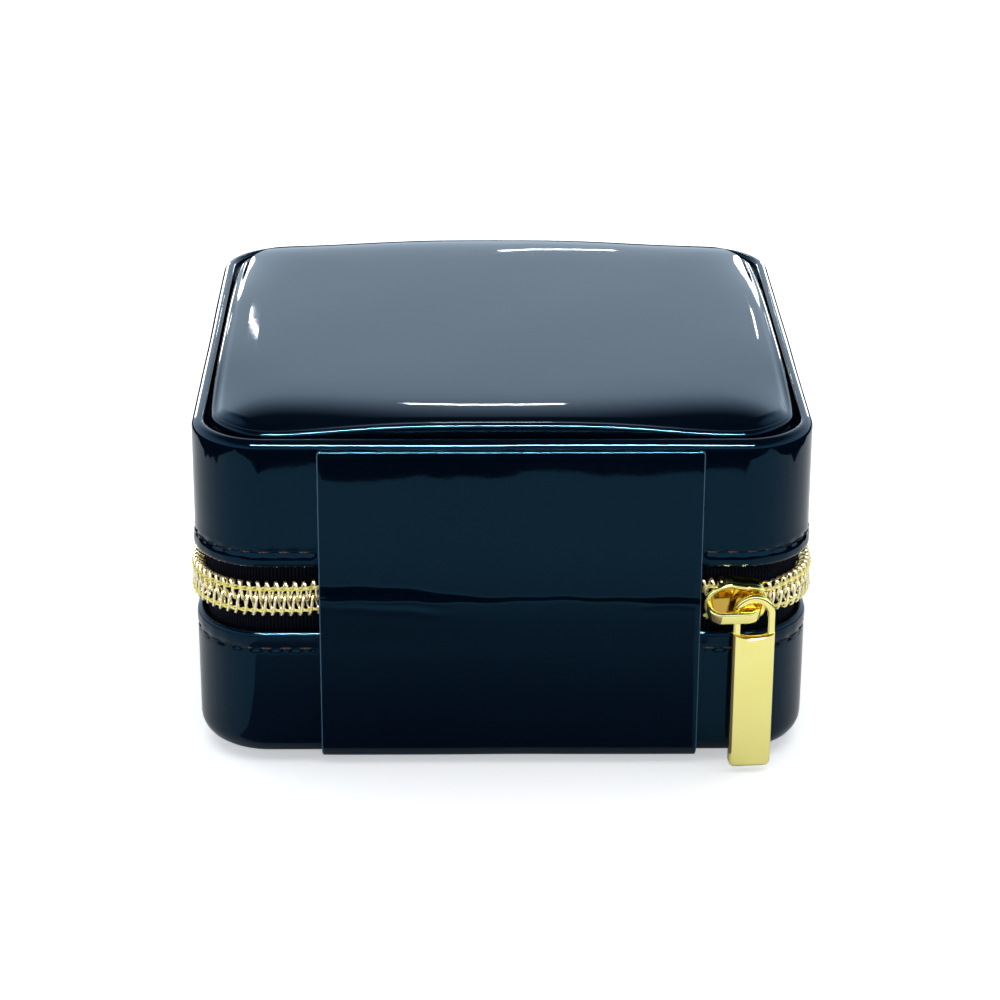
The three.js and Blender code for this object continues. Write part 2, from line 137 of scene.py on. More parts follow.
class Finish(Nodes):
    """A material round one Principled shader. Constants go on the shader's own sockets."""

    def __init__(self, name, **constants):
        self.material = bpy.data.materials.new(name)
        self.material.use_nodes = True
        super().__init__(self.material.node_tree)
        self.shader = self.tree.nodes["Principled BSDF"]
        for socket, value in constants.items():
            self.feed(socket.replace("_", " "), value)

    def feed(self, socket, value):
        """Gives one of the shader's sockets a constant, or a Value that changes over the surface."""
        self.put(self.shader.inputs[socket], value)

    def shade(self, share, first, second):
        """Colours the surface between first and second."""
        self.feed("Base Color", self.mix(share, first, second))

    def relief(self, height, depth, below=None):
        """Bumps the surface, as bump() does."""
        self.feed("Normal", self.bump(height, depth, below))


def matt(name, color, **constants):
    """Even matt paint for things that aren't part of the case."""
    return Finish(name, Base_Color=color, Roughness=0.9, Specular_IOR_Level=0.0, **constants)


def stage_mesh(name, points, faces, finish, shown):
    """A piece of the studio, seen only by the kinds of ray that are named."""
    mesh = bpy.data.meshes.new(name)
    mesh.from_pydata(points, [], faces)
    mesh.materials.append(finish.material)
    piece = bpy.data.objects.new(name, mesh)
    bpy.context.scene.collection.objects.link(piece)
    for ray in ("camera", "diffuse", "glossy", "shadow"):
        setattr(piece, "visible_" + ray, ray in shown)


# The floor lies a hair below the bottom panel. What the camera sees of it glows a little, so that
# the shadow stays faint; a second sheet just below stands in for it in light and gloss.
FLOOR_PAINT, FLOOR_GLOW = (0.90, 0.86, 0.83, 1), 0.45
FLOOR_HALF = 4.0
FLOOR_PLAN = [(x * FLOOR_HALF, y * FLOOR_HALF) for x, y in ((-1, -1), (1, -1), (1, 1), (-1, 1))]
QUAD = [(0, 1, 2, 3)]
glowing_floor = matt("floor_paint", FLOOR_PAINT, Emission_Color=(1, 1, 1, 1), Emission_Strength=FLOOR_GLOW)
stage_mesh("studio_floor", [(x, y, -0.0002) for x, y in FLOOR_PLAN], QUAD, glowing_floor, ("camera",))
stage_mesh("studio_floor_lit", [(x, y, -0.0003) for x, y in FLOOR_PLAN], QUAD,
           matt("floor_paint_lit", FLOOR_PAINT), ("diffuse", "glossy", "shadow"))

# The card lies before the case and shades the foot of the wall. Its paint is a painted shadow, dark beside
# the case and pale further out, for the case's shade on the floor.
CARD_NEAR, CARD_FAR, CARD_SHADOW_PAINT = -0.062, -0.150, (0.22, 0.16, 0.20, 1)
CARD_PLAN = ((-0.070, CARD_FAR), (0.041, CARD_FAR), (0.033, -0.054), (-0.050, -0.054))
card_paint = matt("card_paint", FLOOR_PAINT)
forward = card_paint.part(card_paint.place(), 1)
shadow_share = card_paint.node("MapRange", {"interpolation_type": "SMOOTHSTEP"},
                           {0: forward, 1: CARD_FAR, 2: CARD_NEAR, 3: 0.0, 4: 1.0})
# Painted shadow: the card's paint darkens towards the case.
card_paint.shade(shadow_share, FLOOR_PAINT, CARD_SHADOW_PAINT)
stage_mesh("shade_card", [(x, y, 0.0003) for x, y in CARD_PLAN], QUAD, card_paint, ("glossy",))


def round_angles(count):
    """Angles evenly round a circle."""
    return np.linspace(0, 2 * math.pi, count, endpoint=False)


# The felt is a square ring with a loosely cut inner edge: two waves of one and two millimetres.
FELT_INNER, FELT_OUTER = 0.183, 1.6
FELT_COUNT = 720
a = round_angles(FELT_COUNT)
square = 1 / np.maximum(np.abs(np.cos(a)), np.abs(np.sin(a)))
cut = FELT_INNER + 0.001 * np.sin(a * 37) + 0.002 * np.sin(a * 17 + 1)
rings = np.stack([cut * square, FELT_OUTER * square])[:, :, None]
felt_points = np.concatenate([rings * np.cos(a)[:, None], rings * np.sin(a)[:, None], rings * 0 + 0.0004], 2)
j = np.arange(FELT_COUNT)
k = (j + 1) % FELT_COUNT
felt_faces = np.stack([j, j + FELT_COUNT, k + FELT_COUNT, k], 1).tolist()
stage_mesh("black_felt", felt_points.reshape(-1, 3).tolist(), felt_faces,
           matt("felt_black", (0.004, 0.006, 0.010, 1)), ("glossy",))

# World light by height: white up to the middle heights and near black overhead. Towards the front
# the dark comes lower, because a share of how far forward the ray points adds to its z.
SURROUND = ((0.0, (1.14, 1.40, 1.67, 1)), (0.42, (1.14, 1.40, 1.67, 1)), (0.80, (0.03, 0.04, 0.05, 1)))
FRONT_DIM = 0.22
bpy.context.scene.world = bpy.data.worlds.new("surround")
bpy.context.scene.world.use_nodes = True
sky = Nodes(bpy.context.scene.world.node_tree)
aim = sky.node("TexCoord")
height = sky.part(aim, 1).maths("MINIMUM", 0.0) * -FRONT_DIM + sky.part(aim, 2)
sky.put(sky.tree.nodes["Background"].inputs["Color"], sky.node("ValToRGB", {"stops": SURROUND}, {0: height}))

CAMERA_AIM = Vector((0.0, 0.0, 0.0294))


def make_lamp(name, place, size, watts, turn=0, color=(1, 1, 1)):
    """A rectangular lamp that faces the case, turned on its own axis by so many degrees."""
    lamp = bpy.data.lights.new(name, "AREA")
    lamp.shape = "RECTANGLE"
    lamp.size, lamp.size_y = size
    lamp.energy = watts
    lamp.color = color
    holder = bpy.data.objects.new(name, lamp)
    holder.location = place
    facing = (CAMERA_AIM - Vector(place)).to_track_quat("-Z", "Y")
    holder.rotation_euler = (facing.to_matrix() @ Matrix.Rotation(math.radians(turn), 3, "Z")).to_euler()
    bpy.context.scene.collection.objects.link(holder)
    return holder


def light_gloss_only(holder):
    """Shuts a lamp off for matt surfaces and for light that has been scattered, so that gilt throws
    no patch on the floor: its strength is 1 until the light's path has met a matt surface."""
    holder.visible_diffuse = False
    holder.data.use_nodes = True
    lamp = Nodes(holder.data.node_tree)
    scattered = lamp.node("LightPath", out="Diffuse Depth")
    lamp.put(lamp.tree.nodes["Emission"].inputs["Strength"], scattered.maths("LESS_THAN", 0.5))


EDGE_LAMPS = {
    "edge_strip": ((0.0, -0.92, 0.95), (0.9, 0.022), 175.0, (1.0, 0.74, 0.60)),
    "left_edge_panel": ((-0.42, 1.12, 0.16), (0.22, 0.18), 1.3, (1, 1, 1)),
    "right_edge_panel": ((0.42, 1.12, 0.16), (0.22, 0.18), 1.3, (1, 1, 1)),
}
GLINTS = {
    "front_glint": ((0.008, 1.007, 0.645), (0.095, 0.018), 13),
    "far_glint": ((0.055, 1.199, 0.365), (0.080, 0.006), 28),
    "left_glint": ((-0.198, 1.128, 0.436), (0.050, 0.005), -45),
    "right_glint": ((0.277, 1.126, 0.405), (0.032, 0.006), -67),
}
GLINT_POWER = 130.0
make_lamp("soft_panel", (0.0, 0.35, 1.6), (2.4, 2.4), 34.0).visible_glossy = False
for name, (place, size, watts, color) in EDGE_LAMPS.items():
    light_gloss_only(make_lamp(name, place, size, watts, color=color))
for name, (place, size, turn) in GLINTS.items():
    make_lamp(name, place, size, GLINT_POWER * size[0] * size[1], turn)

# The camera looks at the spine from above, placed by its distance and three turns.
CAMERA_DISTANCE = 0.5630
CAMERA_LENS = 109.68
CAMERA_SHIFT = (0.0016, -0.0132)
CAMERA_RAISED, CAMERA_TURNED, CAMERA_ROLLED = math.radians(22.60), math.radians(-0.91), math.radians(-0.28)
level, rise, roll_sine = math.cos(CAMERA_RAISED), math.sin(CAMERA_RAISED), math.sin(CAMERA_ROLLED)
back = Vector((math.sin(CAMERA_TURNED) * level, -math.cos(CAMERA_TURNED) * level, rise))
right = Vector((math.cos(CAMERA_TURNED), math.sin(CAMERA_TURNED), 0))
up = back.cross(right)
across = math.cos(CAMERA_ROLLED) * right - roll_sine * up
upright = roll_sine * right + math.cos(CAMERA_ROLLED) * up
lens = bpy.data.cameras.new("camera")
lens.lens = CAMERA_LENS
lens.sensor_width = 36
lens.shift_x, lens.shift_y = CAMERA_SHIFT
camera = bpy.data.objects.new("camera", lens)
camera.matrix_world = Matrix((across, upright, back)).transposed().to_4x4()
camera.location = CAMERA_AIM + back * CAMERA_DISTANCE
bpy.context.scene.collection.objects.link(camera)
bpy.context.scene.camera = camera
bpy.context.scene.view_settings.view_transform = "Standard"

# ---- boards and bottom panel -----------------------------------------------------------------
# Grey pressed board stiffens the base and the lid. A flat panel of patent leather covers the
# turned-in edges underneath.
NAVY_DEEP = (0.0006, 0.0022, 0.0052, 1)
NAVY_SOFT = (0.0010, 0.0036, 0.0080, 1)
NAVY_GLOSS = (0.17, 0.60, 1.0, 1)
EDGE_HIGHLIGHT_PAINT = (0.05, 0.09, 0.13, 1)


def patent_leather(name, swell=0.00003, edge_highlights=()):
    """Navy patent: near-black dye under a blue gloss, with soft unevenness and a trace of grain. A cut edge
    gets a painted highlight, a paler line; it is given by its place across the UV map and half its width."""
    finish = Finish(name, IOR=1.36, Specular_Tint=NAVY_GLOSS)
    cloud = finish.noise(45)
    dye_and_edge_highlight = finish.mix(cloud, NAVY_DEEP, NAVY_SOFT)
    # Painted highlight: a paler line along each given cut edge.
    for place, half in edge_highlights:
        dye_and_edge_highlight = finish.mix(finish.part(finish.way(), 1).maths("COMPARE", place, half), dye_and_edge_highlight, EDGE_HIGHLIGHT_PAINT)
    finish.feed("Base Color", dye_and_edge_highlight)
    scuff = finish.noise(900, 4)
    finish.feed("Roughness", scuff * 0.03 + cloud * 0.02 + 0.01)
    rolling = finish.bump(finish.noise(85, 1), swell)
    finish.relief(finish.noise(420, 2), 0.000003, rolling)
    return finish.material


def pressed_board():
    """Grey board: matted fibres with darker flecks."""
    finish = Finish("pressed_board", Roughness=0.95)
    finish.shade(finish.noise(1500, 6), (0.30, 0.27, 0.22, 1), (0.42, 0.39, 0.33, 1))
    finish.relief(finish.noise(2200, 5), 0.00008)
    return finish.material


leather = patent_leather("patent_leather")
board = pressed_board()


def dress(node, material):
    """Gives a CAD node that stays as it is its finish."""
    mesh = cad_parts[node].data
    mesh.materials.clear()
    mesh.materials.append(material)


dress("base_bottom_panel", leather)
dress("base_board", board)
dress("lid_board", board)

# ---- wall covers -----------------------------------------------------------------------------
# Base and lid are each wrapped in one band of patent leather. Its edge beside the zip is turned in
# and sewn 3.4 mm from the fold; the stitches pull the leather into a row of small dents.
MM = 0.001
CASE_LOW, CASE_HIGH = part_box("base_wall_cover")
HALF = (CASE_HIGH.x - CASE_LOW.x) / 2 / MM
BASE_TOP = CASE_HIGH.z / MM
LID_LOW, LID_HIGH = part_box("lid_wall_cover")
LID_BOTTOM = LID_LOW.z / MM
RIM_TOP = LID_HIGH.z / MM
CORNER_R = 12.6
CENTRE = HALF - CORNER_R
SIDE = 2 * CENTRE + CORNER_R * math.pi / 2
ROUND = 4 * SIDE
PANEL_LOW, PANEL_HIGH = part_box("spine_panel_base")
PANEL_LEFT, PANEL_RIGHT = PANEL_LOW.x / MM, PANEL_HIGH.x / MM
PANEL_END = ROUND + PANEL_LEFT  # the panel's left edge, as a way round the case
STITCH = 3.4
HEM_DROP = 0.4  # leather rolls this far below the line of the board's edge
STITCH_Z = {"base": BASE_TOP - 3.5, "lid": LID_BOTTOM + 2.55}
SEWN = (PANEL_END - PANEL_RIGHT) / STITCH
SKIN = 0.9
STITCH_SINK, HEM_SWELL, LID_FLARE = 0.26, 0.09, 0.22
ROWS_PER_STITCH = 8


def smooth(x, low, high):
    """0 at low, 1 at high, and a smooth step between."""
    t = np.clip((x - low) / (high - low), 0, 1)
    return t * t * (3 - 2 * t)


def arc(y, z, r, start, end, steps=6):
    """Points of a circle round (y, z) from one angle in degrees to another."""
    a = np.radians(np.linspace(start, end, steps + 1))
    return np.stack([y + r * np.cos(a), z + r * np.sin(a)], 1)


def way_round(count):
    """Places evenly round the case, as a column to set against the levels of a profile."""
    return np.linspace(0, ROUND, count, endpoint=False)[:, None]


def path(*stretches, step=None):
    """Joins points and arcs into one profile; with a step, long straights get points that far apart."""
    points = np.concatenate([np.atleast_2d(np.array(s, float)) for s in stretches])
    if not step:
        return points
    lengths = np.linalg.norm(np.diff(points, axis=0), axis=1)
    counts = np.maximum(np.ceil(lengths / step).astype(int), 1)
    filled = [np.linspace(points[i], points[i + 1], n, endpoint=False) for i, n in enumerate(counts)]
    return np.concatenate([*filled, points[-1:]])


def wall_point(u, out):
    """The plan point a way u round the case and out from its outer face: each quarter is a straight
    side and a rounded corner, turned by a right angle from the one before. Far inside, the corners
    shrink with the outline, and at the middle they meet."""
    quarter, t = np.divmod(u + CENTRE, SIDE)
    along = np.minimum(t, 2 * CENTRE) / CENTRE - 1
    normal = (quarter - 1) * math.pi / 2 + np.maximum(t - 2 * CENTRE, 0) / CORNER_R
    r = np.maximum(CORNER_R + out, 2 * np.exp(np.minimum((CORNER_R + out - 2) / 2, 0)))
    reach = HALF + out - r
    c, s = np.cos(quarter * math.pi / 2), np.sin(quarter * math.pi / 2)
    x = reach * (c * along + s) + r * np.cos(normal)
    y = reach * (s * along - c) + r * np.sin(normal)
    return x, y


def surface(name, points, wrap=(False, False), ends=(1.0, 1.0), sharp=35):
    """A mesh on a grid of points in mm, rows by columns. wrap joins the last row to the first, or
    the last column to the first. Rows that are loops get a lid on each end. The UV map runs from 0 to
    the two lengths in ends."""
    rows, columns = points.shape[:2]
    i = np.arange(rows if wrap[0] else rows - 1)
    j = np.arange(columns if wrap[1] else columns - 1)
    i, j = [g.ravel() for g in np.meshgrid(i, j, indexing="ij")]
    corner = [(i, j), (i, j + 1), (i + 1, j + 1), (i + 1, j)]
    faces = np.stack([(a % rows) * columns + b % columns for a, b in corner], 1).tolist()
    way = np.stack([np.stack([a * ends[0] / i.max(), b * ends[1] / j.max()], 1) for a, b in corner], 1)
    if wrap == (False, True):
        faces += [list(range(columns)), list(range((rows - 1) * columns, rows * columns))]
        way = np.concatenate([way.reshape(-1, 2), np.zeros((2 * columns, 2))])
    mesh = bpy.data.meshes.new(name)
    mesh.from_pydata((points.reshape(-1, 3) * MM).tolist(), [], faces)
    mesh.uv_layers.new(name="way").data.foreach_set("uv", way.reshape(-1).astype(np.float32))
    return finish_mesh(name, mesh, sharp)


def finish_mesh(name, mesh, sharp=35):
    """Merges doubles, turns the faces out, smooths all but the sharp edges, and adds the object."""
    work = bmesh.new()
    work.from_mesh(mesh)
    bmesh.ops.remove_doubles(work, verts=work.verts, dist=0.0000005)
    bmesh.ops.dissolve_degenerate(work, edges=work.edges, dist=0.0000002)
    bmesh.ops.recalc_face_normals(work, faces=work.faces)
    for face in work.faces:
        face.smooth = True
    work.to_mesh(mesh)
    work.free()
    if sharp:
        mesh.set_sharp_from_angle(angle=math.radians(sharp))
    piece = bpy.data.objects.new(name, mesh)
    bpy.context.scene.collection.objects.link(piece)
    return piece


def fit_out(piece, material, body, slot, *nodes):
    """Gives a piece its material and body, and hides the CAD nodes that it stands for. slot is not used."""
    piece.data.materials.append(material)
    if body:
        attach(piece, body)
    if nodes:
        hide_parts(*nodes)
    return piece


def hem_shape(u, out, z, side):
    """The sewn edge: leather sinks along the stitch line as a bell curve across it, most at each
    stitch, and swells as another bell between the stitches and the fold. side is 1 for the lid,
    whose hem flares, and -1 for the base. Only the outer face takes the shape."""
    line = STITCH_Z["lid" if side > 0 else "base"]
    sewn = smooth(u, PANEL_RIGHT, PANEL_RIGHT + 1) * (1 - smooth(u, PANEL_END - 1, PANEL_END))
    across = (z - line) / 0.55
    beat = 0.5 + 0.5 * np.cos(2 * math.pi * (u - PANEL_RIGHT) / STITCH)
    sink = STITCH_SINK * np.exp(-across**2) * (0.35 + 0.65 * beat)
    swell = HEM_SWELL * np.exp(-(((z - line + side * 1.5) / 0.9) ** 2)) * (1 - 0.5 * beat)
    flare = LID_FLARE * (1 - smooth(z, LID_BOTTOM, LID_BOTTOM + 5)) if side > 0 else 0
    outside = smooth(out, -0.75, -0.35)
    return out + outside * ((swell - sink) * sewn + flare * sewn)


def ripple(u, z):
    """Slow unevenness of leather drawn over board: three crossing waves of a few hundredths of a mm."""
    return (0.045 * np.sin(u / 9.1 + z / 19) + 0.010 * np.sin(u / 4.3 - z / 6.1 + 1.3)
            + 0.006 * np.sin(z / 3.7 + u / 13))


def wall_band(name, profile, side):
    """A closed profile of (inset, z) carried round the case."""
    rows = int(round(ROUND / STITCH)) * ROWS_PER_STITCH
    u = way_round(rows)
    out, z = -profile[None, :, 0], profile[None, :, 1]
    shaped = hem_shape(u, out, z, side) + ripple(u, z) * smooth(out, -0.8, -0.2)
    x, y = wall_point(u, shaped)
    points = np.stack([x, y, np.broadcast_to(z, x.shape)], 2)
    return surface(name, points, (True, True), (ROUND, 60.0), sharp=None)


# The base's cover turns under the foot, and the lid's round the rim and down into the pad's groove.
# The hem is folded back inwards over the board's edge.
FOOT_R, FOOT_Z, FOOT_INSET = 3.7, 4.6, 9
HEM_R, HEM_INSIDE = 0.8, 20.8
base_fold, lid_fold = BASE_TOP - HEM_DROP - HEM_R, LID_BOTTOM - HEM_DROP + HEM_R
base_profile = path(
    (FOOT_INSET, 0.9), arc(FOOT_R, FOOT_Z, FOOT_R, 270, 180), (0, 17),
    path((0, 19.6), (0, base_fold), step=0.3),
    arc(HEM_R, base_fold, HEM_R, 180, 0), (2 * HEM_R, HEM_INSIDE), (SKIN, HEM_INSIDE),
    arc(FOOT_R, FOOT_Z, FOOT_R - SKIN, 180, 270), (FOOT_INSET, 1.8), step=2.0)
base_cover = wall_band("base_cover", base_profile, -1)
fit_out(base_cover, leather, "base", "patent_leather", "base_wall_cover")

GROOVE_Z, GROOVE_INSET, RIM_W = 57.1, 8, 2.2
RIM_OUTER_R, RIM_INNER_R = 1.5, 0.7
LID_HEM_INSIDE = 41.0
lid_profile = path(
    (GROOVE_INSET, GROOVE_Z - 0.8), (SKIN, GROOVE_Z - 0.8), (SKIN, LID_HEM_INSIDE),
    (2 * HEM_R, LID_HEM_INSIDE), arc(HEM_R, lid_fold, HEM_R, 360, 180),
    path((0, lid_fold + 0.1), (0, 42), step=0.3), (0, 45),
    arc(RIM_OUTER_R, RIM_TOP - RIM_OUTER_R, RIM_OUTER_R, 180, 90, 8),
    arc(RIM_W - RIM_INNER_R, RIM_TOP - RIM_INNER_R, RIM_INNER_R, 90, 0),
    (RIM_W, GROOVE_Z), (GROOVE_INSET, GROOVE_Z), step=2.0)
lid_cover = wall_band("lid_cover", lid_profile, 1)
fit_out(lid_cover, leather, "lid", "patent_leather", "lid_wall_cover")

# ---- seam stitches -----------------------------------------------------------------------------
# Waxed navy thread, one lockstitch every 3.4 mm. Each stitch lies in its dent and dives into a
# needle hole at both ends.
STITCH_LENGTH, THREAD_R = 2.7, 0.24
STITCH_BOW = 0.34


def waxed_thread():
    """Twisted thread: dark navy, with fine slanting strands."""
    finish = Finish("waxed_thread", Roughness=0.5, Specular_IOR_Level=0.05)
    strands = finish.node("TexWave", {"bands_direction": "DIAGONAL"},
                          {"Vector": finish.place(), "Scale": 900.0, "Distortion": 1.0}, out=1)
    finish.shade(strands, (0.0008, 0.0028, 0.0065, 1), (0.004, 0.011, 0.022, 1))
    finish.relief(strands, 0.00005)
    return finish.material


thread = waxed_thread()


def stitches(name, z, stand):
    """Every stitch as a small bowed tube, stand mm out from the wall's face: along t from -1 to 1
    its middle line sinks as t^4, so the middle stands out and the ends lie below the leather."""
    count = int(SEWN)
    middle = PANEL_RIGHT + STITCH * (np.arange(count) + 0.5)
    t = np.linspace(-1, 1, 9)
    a = round_angles(6)
    thick = THREAD_R * np.sqrt(np.clip(1 - t**6, 0.02, 1))
    u = middle[:, None, None] + (t * STITCH_LENGTH / 2)[None, :, None] + 0 * a[None, None, :]
    out = stand + 0.02 - STITCH_BOW * (t**4)[None, :, None] + (thick[:, None] * np.cos(a))[None]
    x, y = wall_point(u, np.broadcast_to(out, u.shape))
    height = np.broadcast_to(z + (thick[:, None] * np.sin(a))[None], u.shape)
    points = np.stack([x, y, height], 3)
    return many_tubes(name, points)


def many_tubes(name, points):
    """Tubes of equal make in one mesh: points are tube by ring by corner, and both ends are capped."""
    tubes, rings, corners = points.shape[:3]
    first = np.arange(tubes)[:, None, None] * rings * corners
    ring = np.arange(rings - 1)[None, :, None] * corners
    c = np.arange(corners)[None, None, :]
    d = (c + 1) % corners
    sides = np.stack([first + ring + c, first + ring + d, first + ring + corners + d,
                      first + ring + corners + c], 3).reshape(-1, 4)
    caps = np.concatenate([(first[:, :, 0] + end * corners + c[0]) for end in (0, rings - 1)])
    mesh = bpy.data.meshes.new(name)
    mesh.from_pydata((points.reshape(-1, 3) * MM).tolist(), [], sides.tolist() + caps.tolist())
    return finish_mesh(name, mesh)


# The base's stitches lie deeper than the lid's, whose hem flares.
for body, stand in (("base", -0.20), ("lid", -0.06)):
    row = stitches(f"{body}_stitches", STITCH_Z[body], stand)
    fit_out(row, thread, body, "thread", f"seam_thread_{body}")

# ---- zip tapes and coils ------------------------------------------------------------------------
# A size 5 coil zip: black woven tape, and on each tape a coil of pale gold metallised wire, sewn
# down with yellow thread. The rows mesh at the middle, and spread apart past the slider's mouth.
ZIP_Z = (BASE_TOP + LID_BOTTOM) / 2
SLIDER_U, SLIDER_HALF, SLIDER_LEAN = 39.0, 5.3, math.radians(15)
CHAIN_OUT = -0.6
SPREAD = 1.5  # how far each row has moved off the middle line, well past the slider's mouth
PITCH = 1.57
TAPE_REACH, TAPE_OUTER, TAPE_INNER, TAPE_FIRST = 10.0, -1.8, -2.3, 0.15
TAPE_START, TAPE_TAIL, TAPE_ROWS = 30, 3, 520
RIB, WARP = 0.62, 0.5
HEEL, HEAD = 3.0, -0.42
WIRE = (0.27, 0.22)
THREAD_HEIGHT, BINDER_R, STEPS_PER_TURN = 1.95, 0.17, 8
TUCK = 0.7
CHAIN_START, CHAIN_END = PANEL_RIGHT + 0.4, PANEL_END + 2.0


def zip_point(u, out, z, side):
    """Chain coordinates to points. z is measured from the middle line. Past the slider's mouth the
    rows part in three smooth steps, and near the slider the chain leans by a rotation about its own
    line, as the pull weighs it down. Both fade out towards the hem."""
    s = u - SLIDER_U
    parted = 0.55 * smooth(-s, -1, 2.5) + 0.25 * smooth(-s, 2, 5.3) + 0.2 * smooth(-s, 5, 8)
    free = 1 - smooth(np.abs(z), 3.6, 5.6)
    height = side * z + side * SPREAD * parted * free
    lean = SLIDER_LEAN * (1 - smooth(np.abs(s), SLIDER_HALF + 0.4, SLIDER_HALF + 6)) * free
    q = out - CHAIN_OUT
    x, y = wall_point(u, CHAIN_OUT + q * np.cos(lean) + height * np.sin(lean))
    return np.stack([x, y, ZIP_Z + height * np.cos(lean) - q * np.sin(lean)], -1)


def woven_tape():
    """Black tape: fine ribs across, a warp along, and a little sheen on the ribs."""
    finish = Finish("woven_tape", Roughness=0.9, Specular_IOR_Level=0.0, Sheen_Weight=0.03)
    rib = (finish.part(finish.way(), 0) * (2 * math.pi / RIB)).maths("SINE") * 0.5 + 0.5
    warp = (finish.part(finish.way(), 1) * (2 * math.pi / WARP)).maths("SINE") * 0.5 + 0.5
    finish.shade(rib, (0.0008, 0.0010, 0.0018, 1), (0.006, 0.007, 0.011, 1))
    finish.relief(rib * 0.7 + warp * 0.3, 0.00012)
    return finish.material


def metallised_wire():
    """Pale gold coating on the coil's wire, a little worn to white on the crests."""
    finish = Finish("metallised_wire", Metallic=0.85)
    worn = finish.noise(700, 3)
    finish.shade(worn, (0.86, 0.74, 0.26, 1), (1.0, 0.98, 0.80, 1))
    finish.feed("Roughness", worn * 0.2 + 0.16)
    finish.relief(finish.noise(4000, 2), 0.00001)
    return finish.material


def yellow_thread():
    """The thread that holds the coil."""
    finish = Finish("yellow_thread", Roughness=0.6, Sheen_Weight=0.3)
    fuzz = finish.noise(5000, 3)
    finish.shade(fuzz, (0.66, 0.52, 0.02, 1), (1.0, 0.90, 0.16, 1))
    finish.relief(fuzz, 0.00006)
    return finish.material


def tube_rings(track, radii, corners=6):
    """Rings round a track of points in flat coordinates (along, height, out). Each ring stands across
    the track, wide in the plane nearest to the along axis; radii are given ring by ring."""
    step = np.gradient(track, axis=0)
    step /= np.linalg.norm(step, axis=1)[:, None]
    wide = np.array([1.0, 0, 0]) - step * step[:, :1]
    short = np.linalg.norm(wide, axis=1) < 0.25
    wide[short] = np.cross(step[short], [0, 0, 1.0])
    wide /= np.linalg.norm(wide, axis=1)[:, None]
    deep = np.cross(step, wide)
    a = round_angles(corners)
    return (track[:, None] + radii[:, :1, None] * np.cos(a)[None, :, None] * wide[:, None]
            + radii[:, 1:, None] * np.sin(a)[None, :, None] * deep[:, None])


def tucked(u):
    """How far in a row lies where it runs under the panel's left edge."""
    return TUCK * smooth(u, PANEL_END - 3, PANEL_END)


def coil_row(name, side, offset):
    """One coil: each turn runs down its front leg from the curled heel to the head, back up behind,
    and on by one pitch. Halfway between two key points p and q, with o before and r after, the wire
    passes through (9p + 9q - o - r) / 16."""
    turn = np.array([
        [-0.22, HEEL - 0.40, -0.55], [-0.34, HEEL - 0.04, -0.05], [-0.12, HEEL - 0.22, 0.36],
        [0.14, 2.0, 0.42], [0.24, 1.0, 0.42], [0.34, 0.2, 0.40], [0.42, HEAD + 0.1, 0.15],
        [0.46, HEAD, -0.30], [0.54, HEAD + 0.1, -0.85], [0.80, 0.8, -1.22], [1.08, 2.0, -1.22],
        [1.26, HEEL - 0.6, -1.0],
    ])
    turns = int((CHAIN_END - CHAIN_START) / PITCH)
    keys = (turn[None] + np.arange(turns)[:, None, None] * [PITCH, 0, 0]).reshape(-1, 3)
    ahead, behind = np.roll(keys, -1, 0), np.roll(keys, 1, 0)
    beyond = np.roll(keys, -2, 0)
    halfway = (9 * (keys + ahead) - behind - beyond) / 16
    track = np.stack([keys, halfway], 1).reshape(-1, 3)[2:-4]
    radii = np.ones((len(track), 2)) * WIRE
    radii[[0, -1]] *= 0.05
    rings = tube_rings(track, radii)
    u = CHAIN_START + offset + rings[..., 0]
    points = zip_point(u, rings[..., 2] - tucked(u), rings[..., 1], side)
    return surface(name, points, (False, True), sharp=None)


def coil_thread(name, side):
    """Chain stitching over a coil: two strands weave past each other as sines half a turn apart,
    two turns long, and dip between the turns as a cosine one turn long."""
    steps = int((CHAIN_END - CHAIN_START) / PITCH) * STEPS_PER_TURN
    along = np.arange(steps) * PITCH / STEPS_PER_TURN
    strands = []
    for half_turn in (0, math.pi):
        beat = 2 * math.pi * along / PITCH
        height = THREAD_HEIGHT + 0.24 * np.sin(beat / 2 + half_turn)
        out = 0.50 + 0.13 * np.cos(beat - 0.9) + 0.05 * np.cos(beat / 2 + half_turn)
        track = np.stack([along, height, out], 1)
        radii = np.full((steps, 2), BINDER_R)
        radii[[0, -1]] *= 0.05
        strands.append(tube_rings(track, radii, 5))
    points = np.stack(strands)
    u = CHAIN_START + points[..., 0]
    return many_tubes(name, zip_point(u, points[..., 2] - tucked(u), points[..., 1], side))


def tape_band(name, side):
    """The tape as a thin closed band from the middle line to inside the hem."""
    flat = path((TAPE_INNER, TAPE_FIRST),
                path((TAPE_INNER, TAPE_FIRST), (TAPE_INNER, TAPE_REACH), step=0.7),
                path((TAPE_OUTER, TAPE_REACH), (TAPE_OUTER, TAPE_FIRST), step=0.7))
    u = np.linspace(TAPE_START, PANEL_END + TAPE_TAIL, TAPE_ROWS)[:, None]
    out = np.broadcast_to(flat[None, :, 0], (TAPE_ROWS, len(flat)))
    length = PANEL_END + TAPE_TAIL - TAPE_START
    return surface(name, zip_point(u, out, flat[None, :, 1], side), (False, True), (length, 20.0), sharp=50)


tape_cloth, wire, binder = woven_tape(), metallised_wire(), yellow_thread()
for body, level, side, offset in (("base", "lower", -1, PITCH / 2), ("lid", "upper", 1, 0)):
    tape = tape_band(f"{level}_tape", side)
    fit_out(tape, tape_cloth, body, "zip_tape", f"zip_tape_{level}", f"zip_tape_{level}_end")
    coil = coil_row(f"{level}_coil", side, offset)
    fit_out(coil, wire, body, "zip_coil", f"zip_coil_{level}", f"zip_coil_{level}_end")
    fit_out(coil_thread(f"{level}_coil_thread", side), binder, body, "thread")

